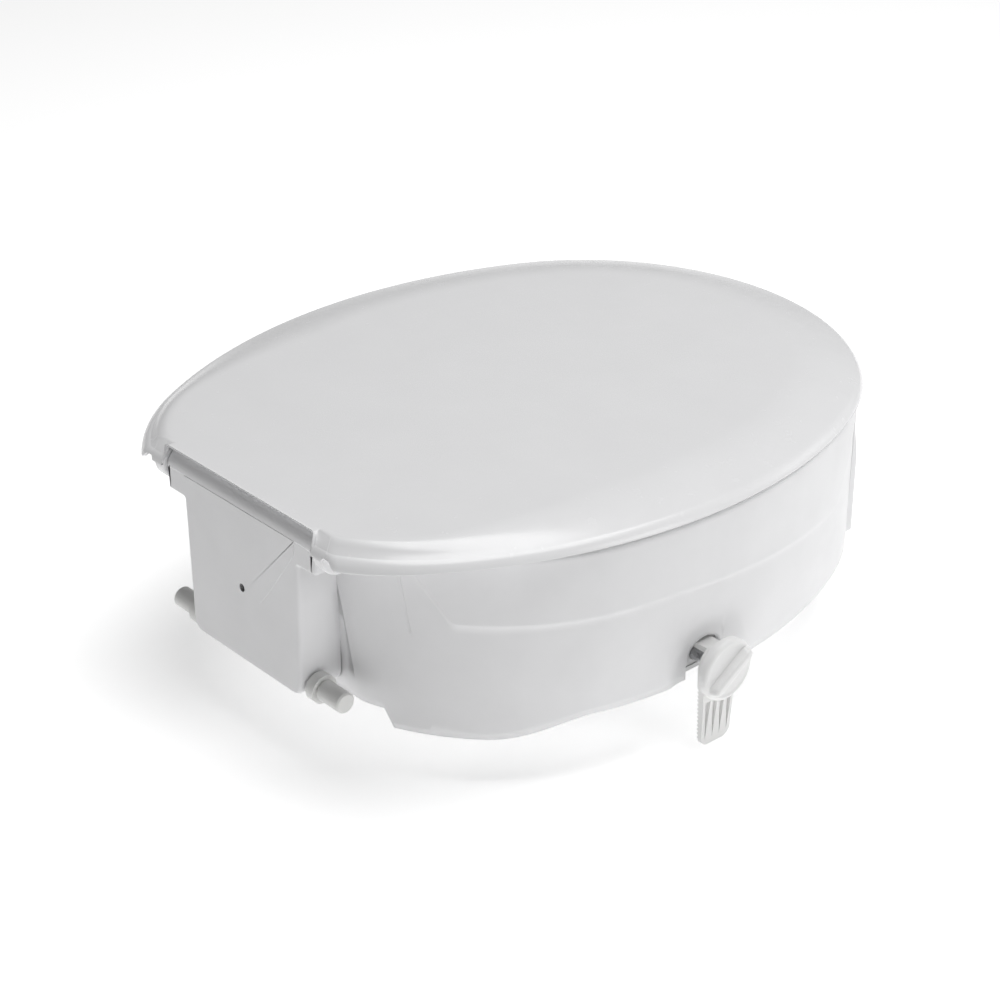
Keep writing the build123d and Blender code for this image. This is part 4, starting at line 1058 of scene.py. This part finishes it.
    def boss(self, name: str, x: float, y: float) -> bpy.types.Object:
        """The boss that holds a buffer: a round that flares where it meets the lid.

        Args:
            name: The corner's name.
            x: Its place across the seat.
            y: Its place along the seat.

        Returns:
            The boss.
        """
        turn = np.linspace(0, FULL_TURN, 48, endpoint=False)[None]
        z = np.array([105.0, 105.0, 105.25, 107.0, 109.0, 110.0])[:, None]
        radius = np.array([2.7, 8.1, 8.4, 8.5, 8.9, 9.6])[:, None]
        grid = (x + radius * np.cos(turn), y + radius * np.sin(turn), z + 0 * turn)
        piece = tube_piece(f"buffer_boss_{name}", grid)
        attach(piece, "lid")
        return piece


# ---------------------------------------------------------------- rear housing
@dataclass
class RearHousing:
    """The box behind the seat, its hinge block, the raised panel on its rear face and the vent in it."""

    rear_y: float = 208.0
    front_y: float = 180.2
    top_half: float = 51.0
    bottom_half: float = 49.0
    bottom_z: float = 6.0
    block_z: float = 89.0
    block_half: float = 66.0
    hinge_y: float = 198.0
    hinge_z: float = 103.0
    hinge_radius: float = 10.0
    edge: float = 2.2
    block_front_y: float = 184.6
    block_floor_z: float = 101.4
    barrel_gap: float = 0.3
    panel_rise: float = 0.25
    vent_z: float = 54.0
    vent_radius: float = 2.5
    vent_depth: float = 16.0
    vent_points: int = 32

    def face(
        self, name: str, outline: np.ndarray, front_y: float, rear_y: float, edge: float
    ) -> bpy.types.Object:
        """A prism whose rear face has the vent through it.

        The face is two flat polygons that meet in the plane of symmetry, above and below the vent.

        Args:
            name: Name of the piece.
            outline: Outline that starts at its lowest middle point and has a highest middle point.
            front_y: Where the prism starts.
            rear_y: Where its rear face is.
            edge: Radius of its rear edge.

        Returns:
            The piece.
        """
        grid = prism_grid(outline, Facing.ALONG, front_y, rear_y, (0.0, edge))
        rows, count = grid[0].shape
        size = self.vent_points
        turn = np.linspace(-QUARTER_TURN, FULL_TURN - QUARTER_TURN, size, endpoint=False)
        depth = (rear_y - np.array([0.0, 0.3, 1.0, self.vent_depth]))[:, None]
        tube = np.broadcast_arrays(
            self.vent_radius * np.cos(turn), depth, self.vent_z + self.vent_radius * np.sin(turn)
        )
        points = np.vstack([np.stack([axis.ravel() for axis in part], axis=1) for part in (grid, tube)])
        start = rows * count
        outer = start - count + np.arange(count + 1) % count
        hole = start + np.arange(size + 1) % size
        top = int(np.argmax(np.where(np.abs(outline[:, 0]) < 1e-6, outline[:, 1], -math.inf)))
        faces = [
            grid_faces(rows, count, True),
            np.concatenate([outer[: top + 1], hole[size // 2 :: -1]])[None],
            np.concatenate([outer[top:], hole[: size // 2 - 1 : -1]])[None],
            start + grid_faces(len(depth), size, True),
            (start + (len(depth) - 1) * size + np.arange(size))[None],
        ]
        return mesh_piece(name, points, faces, True)

    def build(self) -> list[bpy.types.Object]:
        """Builds the box with its shoulders, the panel and the hinge barrel.

        Returns:
            The pieces.
        """
        top = self.hinge_z + self.edge
        half = [
            (self.bottom_half, self.bottom_z, 8.0), (self.top_half, self.block_z, 1.5),
            (self.block_half, self.block_z, 2.5), (self.block_half, top, 0.0),
        ]
        outline = rounded_polygon([
            (0.0, self.bottom_z, 0.0), *half, (0.0, top, 0.0), *[(-x, z, r) for x, z, r in half[::-1]],
        ])
        box = self.face("rear_box_moulding", outline, self.front_y, self.rear_y, self.edge)
        side = [(15.5, 50.4, 3.0), (27.0, 64.7, 3.0), (48.3, 94.0, 3.0), (49.6, self.hinge_z + 0.4, 0.6)]
        shape = rounded_polygon([
            (0.0, 50.4, 0.0), *side, (0.0, self.hinge_z + 0.4, 0.0), *[(-x, z, r) for x, z, r in side[::-1]],
        ], 2.5)
        panel = self.face("rear_panel_relief", shape, self.rear_y - 0.6, self.rear_y + self.panel_rise, 0.12)
        turn = np.radians(np.linspace(0.0, 180.0, 41))
        arc = np.stack([
            self.hinge_y + self.hinge_radius * np.cos(turn), self.hinge_z + self.hinge_radius * np.sin(turn),
        ], axis=1)
        lower = rounded_polygon([
            (self.hinge_y - self.hinge_radius, self.hinge_z, 0.0),
            (self.hinge_y - self.hinge_radius, self.block_floor_z, 0.0),
            (self.block_front_y, self.block_floor_z, 0.5), (self.block_front_y, self.block_z, 1.0),
            (self.rear_y - 1.0, self.block_z, 1.6), (self.rear_y - 0.05, self.block_floor_z, 0.0),
        ])
        reach = self.block_half - self.barrel_gap
        section = np.vstack([arc[:-1], lower[:-1]])
        block = tube_piece(
            "hinge_barrel_moulding", prism_grid(section, Facing.ACROSS, -reach, reach, (1.0, 1.0))
        )
        for piece in (box, panel, block):
            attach(piece, "seat")
        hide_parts("rear_housing")
        return [box, panel, block]


# ---------------------------------------------------------------- clamps
@dataclass
class Clamp:
    """One clamp's hand knob with its grip. The root is how deep the grip starts in the knob."""

    name: str
    side: int
    y: float = 18.8
    z: float = 9.6
    back_x: float = 180.6
    radius: float = 18.5
    thickness: float = 6.0
    edge: float = 2.2
    grip_length: float = 37.0
    grip_width: float = 7.0
    grip_height: float = 5.0
    grip_tilt: float = 33.0
    grip_edge: float = 1.4
    grip_root: float = 2.2
    grip_draft: float = 0.16

    def build(self) -> list[bpy.types.Object]:
        """Builds the disc and the grip.

        The disc is a profile of (radius, depth) carried round the spindle. The grip is a stadium
        whose ends and sides lean in towards its rounded top.

        Returns:
            The pieces.
        """
        face = self.thickness
        bend = np.linspace(0, QUARTER_TURN, 8)[1:]
        back, bore, recess = 0.5, 4.1, 9.0
        radius = np.concatenate([
            [bore, self.radius - back, self.radius, self.radius],
            self.radius - self.edge * (1 - np.cos(bend)),
            self.radius - self.edge - np.array([0.5, 1.1, 1.8]), [recess],
        ])
        depth = np.concatenate([
            [0.0, 0.0, back, face - self.edge], face - self.edge * (1 - np.sin(bend)),
            face - np.array([0.05, 0.35, 0.45, 0.5]),
        ])
        turn = np.linspace(0, FULL_TURN, 128, endpoint=False)[None]
        x = self.side * (self.back_x + depth[:, None]) + 0 * turn
        grid = (
            x, self.y + self.side * radius[:, None] * np.cos(turn), self.z + radius[:, None] * np.sin(turn),
        )
        disc = tube_piece(f"knob_disc_{self.name}", grid)
        return [disc, self.grip()]

    def grip(self) -> bpy.types.Object:
        """The fin across the knob's face. Its ends lean 1.7 times as much as its sides.

        Returns:
            The grip.
        """
        half_long = self.grip_length / 2 - 0.6
        half_wide = self.grip_width / 2
        turn = np.linspace(-QUARTER_TURN, QUARTER_TURN, 25)
        end = half_long - half_wide
        right = np.stack([end + half_wide * np.cos(turn), half_wide * np.sin(turn)], axis=1)
        stadium = np.vstack([right, -right])
        bend = np.linspace(0, QUARTER_TURN, 7)[1:]
        shoulder = self.grip_height - self.grip_edge
        straight = np.linspace(-self.grip_root, shoulder, 6)
        rise = np.concatenate([straight, shoulder + self.grip_edge * np.sin(bend)])
        lean = self.grip_draft * (rise + self.grip_root)
        lean[len(straight) :] += self.grip_edge * (1 - np.cos(bend))
        scale_long = (half_long - 1.7 * lean) / half_long
        scale_wide = (half_wide - lean) / half_wide
        across = stadium[None, :, 0] * scale_long[:, None]
        up = stadium[None, :, 1] * scale_wide[:, None]
        tilt = math.radians(self.grip_tilt)
        u = across * math.cos(tilt) - up * math.sin(tilt)
        v = across * math.sin(tilt) + up * math.cos(tilt)
        x = self.side * (self.back_x + self.thickness + rise)[:, None] + 0 * u
        return tube_piece(f"knob_grip_{self.name}", (x, self.y + self.side * u, self.z + v))

    def finish(self, pieces: list[bpy.types.Object]) -> None:
        """Lets the pieces ride on the knob and stand for its node.

        Args:
            pieces: The disc and the grip.
        """
        for piece in pieces:
            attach(piece, f"knob_{self.name}")
        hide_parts(f"clamp_knob_{self.name}")


# ---------------------------------------------------------------- dressing, light and camera
def dress(piece: bpy.types.Object, material: bpy.types.Material) -> None:
    """Gives a piece one material all over.

    Args:
        piece: The piece.
        material: Its material.
    """
    piece.data.materials.clear()
    piece.data.materials.append(material)


def dress_frame(materials: dict[str, bpy.types.Material]) -> None:
    """Gives every shown CAD node the finish of its slot.

    Args:
        materials: Finish by the record's slot name.
    """
    slots = {row["node"]: row["material_slot"] for row in frame["record"]["subparts"]}
    for node, piece in frame["nodes"].items():
        dress(piece, materials[slots[node]])


@dataclass(frozen=True)
class Studio:
    """A pale floor, a soft room and large soft lights."""

    floor_z: float = -41.0
    floor_half: float = 6000.0
    target: tuple[float, float, float] = (0.0, 0.0, 0.06)
    room: float = 0.1
    floor_glow: float = 0.44

    def build(self) -> None:
        """Builds the floor, the room's light, the lights and the camera."""
        bpy.context.scene.view_settings.view_transform = "Standard"
        world = bpy.data.worlds.new("studio")
        bpy.context.scene.world = world
        world.use_nodes = True
        background = world.node_tree.nodes["Background"]
        background.inputs[0].default_value = (1.0, 1.0, 1.0, 1.0)
        background.inputs[1].default_value = self.room
        size = self.floor_half
        corners = [(-size, -size), (size, -size), (size, size), (-size, size)]
        points = np.array([(x, y, self.floor_z) for x, y in corners])
        floor = mesh_piece("floor", points, [np.arange(QUAD_CORNERS)[None]])
        paper = principled(new_material("white_studio_paper"), {
            "Base Color": linear("#FBFBFB"), "Roughness": 0.8,
            "Emission Color": (1.0, 1.0, 1.0, 1.0), "Emission Strength": self.floor_glow,
        })
        dress(floor, paper)
        self.light("front", (-0.9, -2.0, 0.9), 1.0, 3.5)
        self.light("side", (-2.1, -0.6, 0.8), 0.8, 7.5)
        self.light("top", (-0.2, -0.3, 2.3), 1.6, 40.0)

    def light(self, name: str, place: tuple[float, float, float], size: float, power: float) -> None:
        """A square soft light that faces the seat.

        Args:
            name: The light's name.
            place: Where it stands, in metres.
            size: Length of its side in metres.
            power: Its power in watts.
        """
        data = bpy.data.lights.new(name, "AREA")
        data.size, data.energy = size, power
        lamp = bpy.data.objects.new(name, data)
        lamp.location = place
        lamp.rotation_euler = (Vector(self.target) - Vector(place)).to_track_quat("-Z", "Y").to_euler()
        bpy.context.scene.collection.objects.link(lamp)

    def camera(self) -> None:
        """The camera: three quarters from the rear and the right, looking down at the lid."""
        data = bpy.data.cameras.new("camera")
        data.sensor_width, data.lens = 36.0, 88.46
        eye = bpy.data.objects.new("camera", data)
        forward = Vector((0.6592, -0.5832, -0.4747)).normalized()
        right = forward.cross(Vector((0, 0, 1))).normalized()
        up = right.cross(forward)
        turn = Matrix((right, up, -forward)).transposed().to_4x4()
        eye.matrix_world = Matrix.Translation((-0.95562, 0.86657, 0.72938)) @ turn
        bpy.context.scene.collection.objects.link(eye)
        bpy.context.scene.camera = eye


def main() -> None:
    """Builds every sub-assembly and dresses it."""
    studio = Studio()
    studio.camera()
    studio.build()
    finishes = {
        "seat_plastic": SHELL_PLASTIC.build(),
        "lid_plastic": LID_PLASTIC.build(),
        "base_plastic": BASE_PLASTIC.build(),
        "knob_plastic": KNOB_PLASTIC.build(),
        "jaw_plastic": JAW_PLASTIC.build(),
        "pin_plastic": PIN_PLASTIC.build(),
        "pad_rubber": PAD_RUBBER.build(),
        "buffer_rubber": BUFFER_RUBBER.build(),
        "spindle_steel": STEEL.build(),
    }
    for slot in ("washer_steel", "nut_steel", "screw_steel"):
        finishes[slot] = finishes["spindle_steel"]
    finishes["bush_plastic"] = finishes["pin_plastic"]
    dress_frame(finishes)
    made: list[tuple[bpy.types.Object, str]] = [(SeatShell().build(), "seat_plastic")]
    made += [(piece, "lid_plastic") for piece in Lid().build()]
    made += [(piece, "seat_plastic") for piece in RearHousing().build()]
    for name, side in SIDES:
        clamp = Clamp(name, side)
        pieces = clamp.build()
        clamp.finish(pieces)
        made += [(piece, "knob_plastic") for piece in pieces]
    for piece, slot in made:
        dress(piece, finishes[slot])
        LOG.info("%s: %d faces", piece.name, len(piece.data.polygons))


if __name__ == "__main__":
    logging.basicConfig(level=logging.INFO)
    main()
